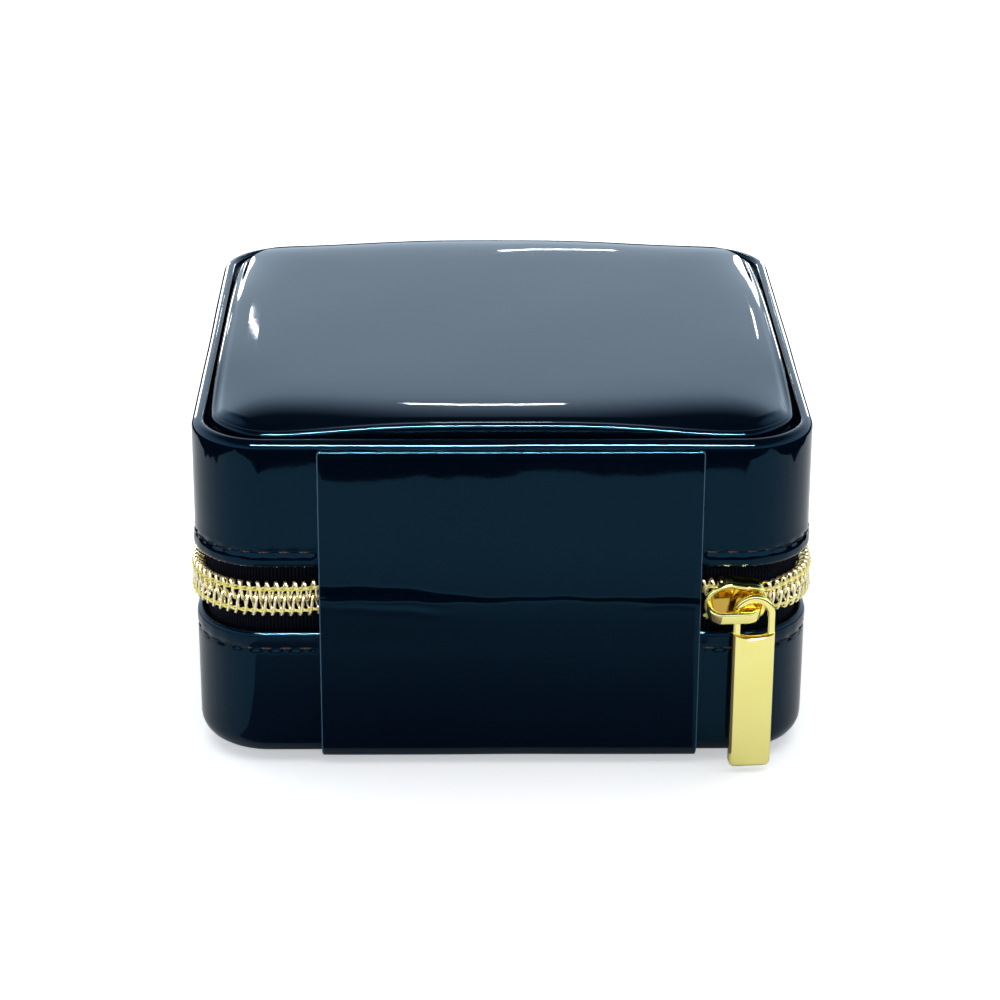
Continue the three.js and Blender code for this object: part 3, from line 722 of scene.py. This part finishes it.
# ---- spine panel ---------------------------------------------------------------------------------
# One piece of patent leather, 64.5 mm wide, glued from under the base up to the lid's rim. Its free
# strip over the zip's ends is the hinge, and has taken a crease there: the base's part stands proud.
PANEL_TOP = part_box("spine_panel_lid")[1].z / MM
PANEL_IN = HALF + 0.05
PANEL_THICK = 0.9
CUT_CORNER_R = 0.8
PANEL_COLUMNS, PANEL_END_ROWS = 110, 5
TURNED_UNDER = 6
PANEL_MIDDLE = (PANEL_LEFT + PANEL_RIGHT) / 2
PANEL_HALF = (PANEL_RIGHT - PANEL_LEFT) / 2


def crease(x, z):
    """How far the free strip stands out at (x, z): it comes out in a short ledge below a wandering
    line, deepest and widest at the left, and eases back to the wall. Two faint wrinkles run in from
    the left edge below it, and one from the right."""
    left = smooth(-x, -4, 27)
    wander = 0.16 * np.sin(x / 3.7) + 0.09 * np.sin(x / 1.4 + 1) + 0.2 * np.sin(x / 8)
    line = ZIP_Z + 0.1 + 1.5 * left + wander
    width = 0.55 + 0.95 * left
    ledge = smooth(-z, -line - width, -line + width)
    ease = smooth(-z, -line + width, -BASE_TOP + 3)
    first = 0.10 * smooth(-x, 8, 14) * np.exp(-(((z - line + width + 0.35 + 0.015 * x) / 0.26) ** 2))
    second = 0.11 * smooth(-x, 8, 16) * np.exp(-(((z - line + width + 2.9 + 0.06 * x) / 0.75) ** 2))
    third = 0.09 * smooth(x, 18, 26) * np.exp(-(((z - line + width + 0.6) / 0.3) ** 2))
    return 0.25 * width * ledge * (1 - ease) + first + second + third


def panel_surface():
    """The panel's centre line in (y, z) runs under the base, round its edge and up. Every point of
    it carries a flat section with rounded edges across X, cut square at the corners and set out by
    the crease; the two ends of the strip are rounded over."""
    half_thick = PANEL_THICK / 2
    turn = arc(FOOT_R - HALF, FOOT_Z, FOOT_R + 0.5, 270, 180, 10) * [-1, 1]
    line = path((PANEL_IN - TURNED_UNDER, half_thick), turn, (PANEL_IN + half_thick, PANEL_TOP - half_thick),
                step=0.4)
    flat = np.linspace(-1, 1, PANEL_COLUMNS)
    front = np.stack([flat * (PANEL_HALF - 0.3), np.full(PANEL_COLUMNS, half_thick)], 1)
    edge = arc(0, 0, 1, 80, -80, 6) * [0.3, half_thick] + [PANEL_HALF - 0.3, 0]
    section = np.concatenate([front, edge, front[::-1] * [1, -1], edge[::-1] * [-1, 1]])
    step = np.gradient(line, axis=0)
    step /= np.linalg.norm(step, axis=1)[:, None]
    over = np.radians(np.linspace(15, 90, PANEL_END_ROWS))[:, None]
    rounded = half_thick * np.sin(over)
    line = np.concatenate([(line[0] - step[0] * rounded)[::-1], line, line[-1] + step[-1] * rounded])
    step = np.concatenate([step[:1].repeat(PANEL_END_ROWS, 0), step, step[-1:].repeat(PANEL_END_ROWS, 0)])
    slim = np.ones(len(line))
    slim[:PANEL_END_ROWS], slim[-PANEL_END_ROWS:] = np.cos(over[::-1, 0]), np.cos(over[:, 0])
    outward = np.stack([step[:, 1], -step[:, 0]], 1)
    length = np.concatenate([[0], np.cumsum(np.linalg.norm(np.diff(line, axis=0), axis=1))])
    inward = 1 - np.clip(np.minimum(length, length[-1] - length) / CUT_CORNER_R, 0, 1)
    corner = CUT_CORNER_R * (1 - np.sqrt(np.clip(1 - inward**2, 0, 1)))
    x = section[None, :, 0] * (1 - corner[:, None] / PANEL_HALF)
    z = line[:, 1:] + 0 * x
    depth = crease(x, z) + 0.7 * ripple(x * 1.3 + 40, z) + section[None, :, 1] * slim[:, None]
    y = line[:, :1] + outward[:, :1] * depth
    points = np.stack([PANEL_MIDDLE + x, -y, z + outward[:, 1:] * depth], 2)
    return surface("spine_panel", points, (False, True), (length[-1], 130.0), sharp=None)


def bend_hinge(piece, material, slot, *nodes):
    """A strip across the hinge line, from the base to the lid: it gets its material, hides its CAD nodes,
    joins no body, and has its transform baked into its mesh.
    """
    fit_out(piece, material, None, slot, *nodes)
    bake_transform(piece)


spine = panel_surface()
# Painted highlights as paler lines along the strip's two cut edges, one along each side, by their places
# across the UV map.
panel_leather = patent_leather("patent_leather_panel", edge_highlights=((62.2, 0.7), (129.2, 0.7)))
bend_hinge(spine, panel_leather, "patent_leather", "spine_panel_base", "spine_panel_lid")

# ---- padded top ------------------------------------------------------------------------------------
# Patent leather stretched over foam and let into the rim: a steep side out of the groove, a fold
# that bulges along the middle of each side and sinks at the corners, and a shallow crown.
PAD_INSET = 2.95
PAD_CROWN = 62.5
FOLD_LOW, FOLD_RISE = 59.6, 1.7
FOLD_R = 0.8
DRAWN_IN = 1.2
PAD_SKIN = 0.7
PAD_ROWS, TOP_LOOPS = 560, 70
TIGHT = 12


def open_foam():
    """Cream foam: open cells with darker walls."""
    finish = Finish("open_foam", Roughness=0.9)
    cells = finish.node("TexVoronoi", {}, {"Vector": finish.place(), "Scale": 1400.0})
    finish.shade(cells, (0.72, 0.69, 0.58, 1), (0.45, 0.42, 0.34, 1))
    finish.relief(cells, 0.0002)
    return finish.material


def pad_levels(gap):
    """Levels from the groove to the middle, gap mm inside the outer face. The fold's height is a
    raised cosine along each side, and the corners are drawn in. The top rises from it as
    (1 - |x|^12)(1 - |y|^12), with x and y from -1 to 1, under waves a few hundredths of a mm high. Its
    loops turn from copies of the outline set inwards to copies scaled about the middle."""
    u = way_round(PAD_ROWS)
    t = np.mod(u + CENTRE, SIDE)
    along = np.abs(np.minimum(t, 2 * CENTRE) / CENTRE - 1)
    fold = FOLD_LOW + FOLD_RISE * (0.5 + 0.5 * np.cos(math.pi * along**1.7))
    corner = np.abs(t - CENTRE - SIDE / 2)
    corner = np.minimum(corner, SIDE - corner)
    edge = PAD_INSET + DRAWN_IN * np.exp(-((corner / 9) ** 2))
    up = np.linspace(0, 1, 9)[None, :-1]
    side_inset = edge + 0.45 - 0.45 * np.sin(up * math.pi / 2)
    side_z = GROOVE_Z + 0.1 + (fold - FOLD_R - GROOVE_Z) * up
    turn = np.linspace(0, math.pi / 2 - 0.35, 10)[None, :-1]
    turn_inset = edge + FOLD_R * (1 - np.cos(turn))
    turn_z = fold - FOLD_R + FOLD_R * np.sin(turn)
    top_edge = edge + 0.75 * FOLD_R
    share = np.linspace(0, 1, TOP_LOOPS)[None] ** 1.5
    d = share * (HALF - top_edge)
    inset = np.concatenate([side_inset, turn_inset, top_edge + d], 1)
    x, y = wall_point(u, -inset - gap)
    scaled = smooth(share, 0, 0.7)
    for way in (x, y):
        top = way[:, -TOP_LOOPS:]
        way[:, -TOP_LOOPS:] = top * (1 - scaled) + top[:, :1] * (1 - share) * scaled
    reach = HALF - PAD_INSET - 0.75 * FOLD_R
    rise = (1 - np.abs(x / reach).clip(0, 1) ** TIGHT) * (1 - np.abs(y / reach).clip(0, 1) ** TIGHT)
    top_z = fold + (PAD_CROWN - fold) * rise[:, -TOP_LOOPS:] * smooth(d, 0, 1.5)
    top_z[:, -1] = PAD_CROWN
    z = np.concatenate([side_z, turn_z, top_z], 1)
    z = z + 0.02 * np.sin(x / 13 + y / 19) + 0.015 * np.sin(x / 7 - y / 8)
    return np.stack([x, y, z - gap * smooth(inset - edge, 0, 1.3)], 2)


pad_points = np.concatenate([pad_levels(0), pad_levels(PAD_SKIN)[:, ::-1]], 1)
pad = surface("padded_top", pad_points, (True, True), (ROUND, 140.0), sharp=None)
fit_out(pad, patent_leather("patent_leather_top", 0.00002), "lid", "patent_leather", "lid_top_cover")
foam_points = pad_levels(PAD_SKIN + 0.1)
foam_bottom = foam_points[:, :1] * [0, 0, 1]
foam_block = surface("pad_foam", np.concatenate([foam_bottom, foam_points], 1), (True, False), sharp=None)
fit_out(foam_block, open_foam(), "lid", "foam", "lid_top_foam")

# ---- slider --------------------------------------------------------------------------------------
# A gilt casting: an outer plate with a raised rim, an inner plate, two flanges that hold the rows
# together, a post between them at the mouth, and an arched bridge for the pull.
SLIDER_BACK, SLIDER_YAW = 0.21, math.radians(4.5)
PLATE_HEIGHT, TAIL_NARROWED = 4.4, 0.75
PLAN_POINTS = 64
BAR_SQUARED = 0.45
DISH_FROM = 0.7  # the plate's hollow, as a share of the way along its UV map


def gilt(name):
    """Polished pale gold plating: nearly clean, with faint polishing lines and soft tarnish. The slider's
    hollow
    plate carries a painted reflection: amber where it mirrors itself; other shells stop short of DISH_FROM."""
    finish = Finish(name, Metallic=1.0)
    cloud = finish.noise(160, 3)
    plating = finish.mix(cloud, (0.94, 0.84, 0.26, 1), (0.98, 0.91, 0.34, 1))
    # Painted reflection: amber in the plate's hollow, for the plate mirroring itself.
    painted_reflection = finish.part(finish.way(), 0).maths("GREATER_THAN", DISH_FROM) * 0.8
    finish.shade(painted_reflection, plating, (0.62, 0.33, 0.02, 1))
    finish.feed("Roughness", finish.noise(1200, 3) * 0.06 + 0.07)
    finish.relief(finish.noise(260, 2), 0.000012)
    return finish.material


def power(x, exponent):
    """|x| to a power, with the sign of x. Powers of a cosine and a sine below 1 square a circle up."""
    return np.sign(x) * np.abs(x) ** exponent


def lozenge(shrink, count=PLAN_POINTS):
    """The slider's plate in plan, as (along, height): half a wide ellipse for the nose, then a waist
    that eases to the narrow tail, whose cosine and sine are to the power of a half."""
    a = round_angles(count)
    squared = np.where(np.cos(a) > 0, 0.5, 1.0)
    s = (SLIDER_HALF - shrink) * power(np.cos(a), squared)
    width = PLATE_HEIGHT - shrink - TAIL_NARROWED * smooth(s, -1.6, 1.6)
    return np.stack([s, width * power(np.sin(a), squared)], 1)


def plate(levels, outline=lozenge, middle=(0, 0, 0)):
    """A plate from levels of (shrink, out), the first and last closed to a point at the middle."""
    rings = [np.concatenate([outline(shrink), np.full((PLAN_POINTS, 1), out)], 1) for shrink, out in levels]
    return np.stack([rings[0] * [0, 0, 1] + middle, *rings, rings[-1] * [0, 0, 1] + middle])


def to_slider(points, lean):
    """Slider coordinates (along, height, out) to points: a lean about the chain, then the yaw."""
    s, h, q = points[..., 0], points[..., 1], points[..., 2]
    forward = q * math.cos(lean) + h * math.sin(lean)
    z = h * math.cos(lean) - q * math.sin(lean)
    x = SLIDER_U + s * math.cos(SLIDER_YAW) + forward * math.sin(SLIDER_YAW)
    y = -HALF - CHAIN_OUT + SLIDER_BACK + s * math.sin(SLIDER_YAW) - forward * math.cos(SLIDER_YAW)
    return np.stack([x, y, ZIP_Z + z], -1)


def swept_bar(line, half_width, half_thick, wide_axis=1, corners=16):
    """A bar with a rounded square section along a line of (along, height, out) points; its width lies
    along wide_axis. Both ends close to a point."""
    step = np.gradient(line, axis=0)
    step /= np.linalg.norm(step, axis=1)[:, None]
    wide = np.zeros(3)
    wide[wide_axis] = 1
    deep = np.cross(step, wide)
    deep /= np.linalg.norm(deep, axis=1)[:, None]
    a = round_angles(corners) + 0.01
    c, s = power(np.cos(a), BAR_SQUARED), power(np.sin(a), BAR_SQUARED)
    size = np.ones(len(line))
    size[[0, -1]] = 0.02
    return (line[:, None] + half_width * (size[:, None] * c)[..., None] * wide
            + half_thick * (size[:, None] * s)[..., None] * deep[:, None])


def doubled_ends(line):
    """Repeats a line's two end points a hair further on, so that a bar's ends are square."""
    before, after = (line[1] - line[0]) * 0.02, (line[-1] - line[-2]) * 0.02
    return np.concatenate([line[:1] - before, line, line[-1:] + after])


def side_flange(sign):
    """One side wall of the slider, between its plates, along the outline's long side."""
    edge = lozenge(0.3, 128)
    edge = edge[(edge[:, 1] * sign > 1.0) & (edge[:, 0] > -2.8)]
    edge = edge[np.argsort(edge[:, 0])]
    line = np.stack([edge[:, 0], edge[:, 1], np.full(len(edge), 0.4)], 1)
    return swept_bar(doubled_ends(line), 1.25, 0.26, wide_axis=2)


def joined(name, shells, lean, dished=False, sharp=40):
    """Several closed grids as one object. The first may be a dished plate, whose UV map runs on past
    DISH_FROM."""
    work = bmesh.new()
    for k, points in enumerate(shells):
        reach = 1.0 if dished and k == 0 else 0.5
        part = surface(f"{name}_{k}", to_slider(points, lean), (False, True), (reach, 1.0), sharp=40)
        work.from_mesh(part.data)
        bpy.data.objects.remove(part)
    mesh = bpy.data.meshes.new(name)
    work.to_mesh(mesh)
    work.free()
    mesh.set_sharp_from_angle(angle=math.radians(sharp))
    piece = bpy.data.objects.new(name, mesh)
    bpy.context.scene.collection.objects.link(piece)
    return piece


outer_plate = plate([(0.25, 1.45), (0.05, 1.55), (0, 1.75), (0, 2.1), (0.12, 2.3), (0.35, 2.38), (0.6, 2.3),
                     (0.85, 2.1), (1.6, 2.16), (2.6, 2.24)])
inner_plate = plate([(0.3, -2.85), (0.05, -2.75), (0, -2.5), (0.05, -2.15), (0.3, -2.05)])
arch = path((-4.4, 1.9), (-4.45, 3.2), arc(-2.5, 3.9, 2.0, 165, 95, 8),
            arc(1.6, 3.9, 2.0, 85, 10, 8), (3.5, 1.9), step=0.4)
bridge = swept_bar(doubled_ends(np.stack([arch[:, 0], arch[:, 0] * 0, arch[:, 1]], 1)), 1.05, 0.5)
post_line = np.stack([np.full(6, -3.6), np.zeros(6), np.linspace(-2.3, 1.7, 6)], 1)
post = swept_bar(doubled_ends(post_line), 0.7, 1.0)
casting = [outer_plate, inner_plate, side_flange(1), side_flange(-1), bridge, post]
slider = joined("slider", casting, SLIDER_LEAN, dished=True)
fit_out(slider, gilt("gilt_slider"), "slider", "gilt", "zip_slider")

# ---- pull tab --------------------------------------------------------------------------------------
# A flat gilt bar with bevelled edges under a slimmer loop, which hangs on the slider's bridge. The
# bar's upper end is cut to a shallow hollow where the loop's legs join it.
PULL_AT = np.array([2.9, -1.6, 4.3])
LOOP_R, LOOP_BAND = 2.92, 0.65
BAR_HALF, BAR_TOP, BAR_THICK = 3.57, -3.1, 0.95
PULL_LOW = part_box("pull_tab")[0].z / MM
BAR_BOTTOM = PULL_LOW - ZIP_Z - PULL_AT[1]


def bar_outline(shrink):
    """The bar's outline as (along, height): a tall rectangle with small rounded feet and an upper
    end that sinks in the middle. Points are shared out by side."""
    half = BAR_HALF - shrink
    low, high = BAR_BOTTOM + shrink, BAR_TOP - shrink
    r = max(1.1 - shrink, 0.2)
    top_x = np.linspace(half, -half, 20)
    top = np.stack([top_x, high - 0.75 * (1 - (top_x / half) ** 2)], 1)
    left = np.stack([np.full(11, -half), np.linspace(high, low + r, 12)[1:]], 1)
    feet = np.concatenate([arc(-half + r, low + r, r, 180, 270, 6)[1:],
                           arc(half - r, low + r, r, 270, 360, 6)[:-1]])
    rest = PLAN_POINTS - len(top) - len(left) - len(feet)
    right = np.stack([np.full(rest, half), np.linspace(low + r, high, rest + 1)[:-1]], 1)
    return np.concatenate([top, left, feet, right])


# The bar is levels of its outline, and the loop one swept bar: leg, half circle, leg. The pull hangs
# straight down, so it takes the slider's place and yaw but not its lean.
bar_levels = [(0.42, -BAR_THICK), (0.36, 0.04 - BAR_THICK), (0.05, 0.30 - BAR_THICK), (0, 0.40 - BAR_THICK),
              (0, BAR_THICK - 0.40), (0.05, BAR_THICK - 0.30), (0.36, BAR_THICK - 0.04), (0.42, BAR_THICK)]
bar = plate(bar_levels, bar_outline, (0, (BAR_TOP + BAR_BOTTOM) / 2, 0))
leg_end = BAR_TOP - 1.5
loop_line = path((LOOP_R, leg_end), arc(0, 0, LOOP_R, 0, 180, 30), (-LOOP_R, leg_end), step=0.5)
loop = swept_bar(np.concatenate([loop_line, loop_line[:, :1] * 0 - 0.1], 1), 0.62, LOOP_BAND, wide_axis=2)
pull = joined("pull", [bar + PULL_AT, loop + PULL_AT], lean=0.0, sharp=30)
fit_out(pull, gilt("gilt_pull"), "pull", "gilt", "pull_tab")

# ---- linings -----------------------------------------------------------------------------------
# Short-piled navy velvet over card lines the base and the lid. The lining's floor carries a thin
# pad, and a strip of the same cloth crosses the hinge inside.
LINING_OUT, LINING_IN = 2.95, 3.55
VELVET_DEEP, VELVET_LIGHT = (0.004, 0.010, 0.026, 1), (0.016, 0.034, 0.075, 1)


def box_mm(node):
    """The low and high corners of a CAD node's box, in mm."""
    return [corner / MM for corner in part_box(node)]


def velvet():
    """Velvet: pile that darkens and lightens as it lies, with sheen at a slant."""
    finish = Finish("velvet", Roughness=0.95, Specular_IOR_Level=0.0, Sheen_Weight=0.6,
                    Sheen_Roughness=0.35, Sheen_Tint=(0.25, 0.4, 0.8, 1))
    nap = finish.noise(120, 3)
    pile = finish.noise(6000, 2)
    finish.shade(nap * 0.7 + pile * 0.3, VELVET_DEEP, VELVET_LIGHT)
    finish.relief(pile, 0.00012, finish.bump(nap, 0.0001))
    return finish.material


def ring_levels(name, levels):
    """A closed shell from levels of (inset, z) round the case, the first and last at the middle."""
    u = way_round(240)
    inset = np.array([level[0] for level in levels], float)[None]
    z = np.array([level[1] for level in levels], float)[None] + 0 * u
    x, y = wall_point(u, -inset + 0 * u)
    points = np.stack([x, y, z], 2)
    points[:, [0, -1], :2] = 0
    return surface(name, points, (True, False), sharp=50)


def tub(name, closed_z, inner_z, open_z):
    """A lining: a wall and a floor, from the middle of the floor's hidden face round its edge."""
    lip = math.copysign(0.3, open_z - closed_z)
    soft = math.copysign(1.5, open_z - closed_z)
    levels = path((HALF, closed_z), (LINING_OUT + 0.3, closed_z), (LINING_OUT, closed_z + lip),
                  (LINING_OUT, open_z - lip), (LINING_OUT + 0.3, open_z), (LINING_IN, open_z - lip),
                  (LINING_IN, inner_z + soft), (LINING_IN + 0.4, inner_z + soft * 0.35),
                  (LINING_IN + 1.4, inner_z), (HALF, inner_z), step=3)
    return ring_levels(name, levels)


pile_cloth = velvet()
base_low, base_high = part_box("base_lining")
lid_low, lid_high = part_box("lid_lining")
base_lining = tub("base_velvet", base_low.z / MM, base_low.z / MM + 0.6, base_high.z / MM)
fit_out(base_lining, pile_cloth, "base", "lining_suede", "base_lining")
lid_lining = tub("lid_velvet", lid_high.z / MM, lid_high.z / MM - 0.6, lid_low.z / MM)
fit_out(lid_lining, pile_cloth, "lid", "lining_suede", "lid_lining")

pad_low, pad_high = box_mm("base_floor_pad")
floor_levels = path((HALF, pad_low.z), (4.0, pad_low.z), (3.75, pad_low.z + 0.4), (3.75, pad_high.z - 0.6),
                    (4.3, pad_high.z - 0.1), (6, pad_high.z), (HALF, pad_high.z), step=3)
floor_pad = ring_levels("floor_pad", floor_levels)
fit_out(floor_pad, pile_cloth, "base", "lining_suede", "base_floor_pad")

cloth_low, cloth_high = box_mm("hinge_cloth")


def hinge_strip():
    """The cloth over the inside of the hinge, half a millimetre thick: a flat section with rounded
    sides, squared up by a small power of the cosine, carried up and closed at both ends."""
    rows, columns = 60, 80
    line = np.linspace(cloth_low.z, cloth_high.z, rows)
    half_width, half_thick = (cloth_high.x - cloth_low.x) / 2, (cloth_high.y - cloth_low.y) / 2
    a = round_angles(columns)
    slim = np.ones(rows)
    slim[[0, -1]] = 0.02
    x = (cloth_low.x + cloth_high.x) / 2 + half_width * power(np.cos(a), 0.08) + 0 * line[:, None]
    y = (cloth_low.y + cloth_high.y) / 2 + half_thick * np.sin(a) * slim[:, None]
    points = np.stack([x, y, np.broadcast_to(line[:, None], (rows, columns))], 2)
    return surface("hinge_cloth_strip", points, (False, True), sharp=60)


strip = hinge_strip()
bend_hinge(strip, pile_cloth, "lining_suede", "hinge_cloth")

# ---- ring rolls and dividers --------------------------------------------------------------------
# Six velvet rolls stand side by side across the left of the base and grip rings between them. Thin
# velvet-covered walls part the right side into three compartments.
ROLL_WAIST = 0.42  # the height at which a roll is widest, as a share of its own


def roll(node):
    """A stuffed roll: a section like an arch on straight legs, full in the middle and drawn in at
    both ends over rounded shoulders, with faint gathers near the end seams."""
    low, high = box_mm(node)
    width, height = high.y - low.y, high.z - low.z
    a = round_angles(72)
    across = width / 2 * power(np.cos(a), 0.62)
    above, below = height * (1 - ROLL_WAIST), height * ROLL_WAIST
    up = np.where(np.sin(a) > 0, power(np.sin(a), 0.9) * above, power(np.sin(a), 0.35) * below)
    t = np.linspace(-1, 1, 61)
    draw = np.clip(1 - np.abs(t) ** 26, 0, 1) ** 0.5
    draw[[0, -1]] = 0
    gather = 0.10 * np.sin(9 * a)[None] * np.exp(-((1 - np.abs(t)) / 0.10))[:, None]
    swell = 1 - 0.012 * (1 - np.cos(2 * math.pi * t)) / 2
    size = draw * swell
    x = (low.x + high.x) / 2 + (high.x - low.x) / 2 * t[:, None] + 0 * a[None]
    y = (low.y + high.y) / 2 + size[:, None] * across[None] * (1 + gather / 8)
    z = low.z + below + size[:, None] * up[None] * (1 + gather / 7)
    return surface(node + "_velvet", np.stack([x, y, z], 2), (False, True), sharp=None)


for k in range(1, 7):
    piece = roll(f"ring_roll_{k}")
    fit_out(piece, pile_cloth, "base", "lining_suede", f"ring_roll_{k}")


def divider(node, along_x):
    """A thin wall with a rounded top edge and softened ends, from its section carried along."""
    low, high = box_mm(node)
    ends = (low.x, high.x) if along_x else (low.y, high.y)
    sides = (low.y, high.y) if along_x else (low.x, high.x)
    half = (sides[1] - sides[0]) / 2
    section = path((-half, low.z), arc(0, high.z - half, half, 180, 0, 12), (half, low.z), step=1.2)
    t = np.linspace(0, 1, 50)
    run = ends[0] + (ends[1] - ends[0]) * t
    slim = np.clip(np.sqrt(np.minimum(t, 1 - t) * (ends[1] - ends[0]) / 0.8), 0.05, 1)
    middle = (sides[0] + sides[1]) / 2
    across = middle + slim[:, None] * section[None, :, 0]
    z = np.broadcast_to(section[None, :, 1], across.shape)
    run = np.broadcast_to(run[:, None], across.shape)
    points = np.stack([run, across, z] if along_x else [across, run, z], 2)
    return surface(node + "_velvet", points, (False, True), sharp=50)


for node, along_x in (("divider_long", False), ("divider_cross_rear", True), ("divider_cross_front", True)):
    fit_out(divider(node, along_x), pile_cloth, "base", "lining_suede", node)

# ---- mirror ------------------------------------------------------------------------------------
# A silvered glass plate with a ground bevel, held in the lid by a velvet-covered frame.
mirror_low, mirror_high = box_mm("lid_mirror")
frame_low, frame_high = box_mm("mirror_frame")


def silvered_glass():
    """Mirror: silver behind glass, with the faintest haze."""
    finish = Finish("silvered_glass", Metallic=1.0)
    haze = finish.noise(80, 3)
    finish.feed("Roughness", haze * 0.02 + 0.01)
    finish.shade(haze, (0.84, 0.87, 0.88, 1), (0.90, 0.92, 0.93, 1))
    return finish.material


def square_levels(name, levels, closed=False, sharp=35):
    """A shell from levels of (half side, corner radius, z), each a rounded square whose points are
    shared evenly among its corners. A closed shell is a frame; another ends at the middle."""
    a = round_angles(96)
    corner = (np.floor(a / (math.pi / 2)) + 0.5) * math.pi / 2
    half, r, z = [values[:, None] for values in np.array(levels, float).T]
    reach = (half - r) * math.sqrt(2)
    rings = np.stack([reach * np.cos(corner) + r * np.cos(a), reach * np.sin(corner) + r * np.sin(a),
                      np.broadcast_to(z, (len(levels), 96))], 2)
    if not closed:
        rings = np.concatenate([rings[:1] * [0, 0, 1], rings, rings[-1:] * [0, 0, 1]])
    return surface(name, rings, (closed, True), sharp=sharp)


glass_half = mirror_high.x
glass_levels = [(glass_half, 4, mirror_high.z), (glass_half, 4, mirror_low.z + 0.7),
                (glass_half - 5, 2, mirror_low.z)]
glass = square_levels("mirror_glass", glass_levels, sharp=5)
fit_out(glass, silvered_glass(), "lid", "mirror", "lid_mirror")
outer, inner, seat = frame_high.x, glass_half - 1.5, glass_half + 0.3
rebate = mirror_low.z - 0.3
surround_levels = [
    (outer, 8, frame_high.z), (outer, 8, frame_low.z + 1.2), (outer - 0.4, 7.6, frame_low.z + 0.4),
    (outer - 1.3, 6.7, frame_low.z), (inner + 1.0, 4, frame_low.z), (inner + 0.3, 3.3, frame_low.z + 0.2),
    (inner, 3, frame_low.z + 0.5), (inner, 3, rebate), (seat, 4.3, rebate), (seat, 4.3, frame_high.z)]
mirror_rim = square_levels("mirror_surround", surround_levels, closed=True, sharp=50)
fit_out(mirror_rim, pile_cloth, "lid", "lining_suede", "mirror_frame")
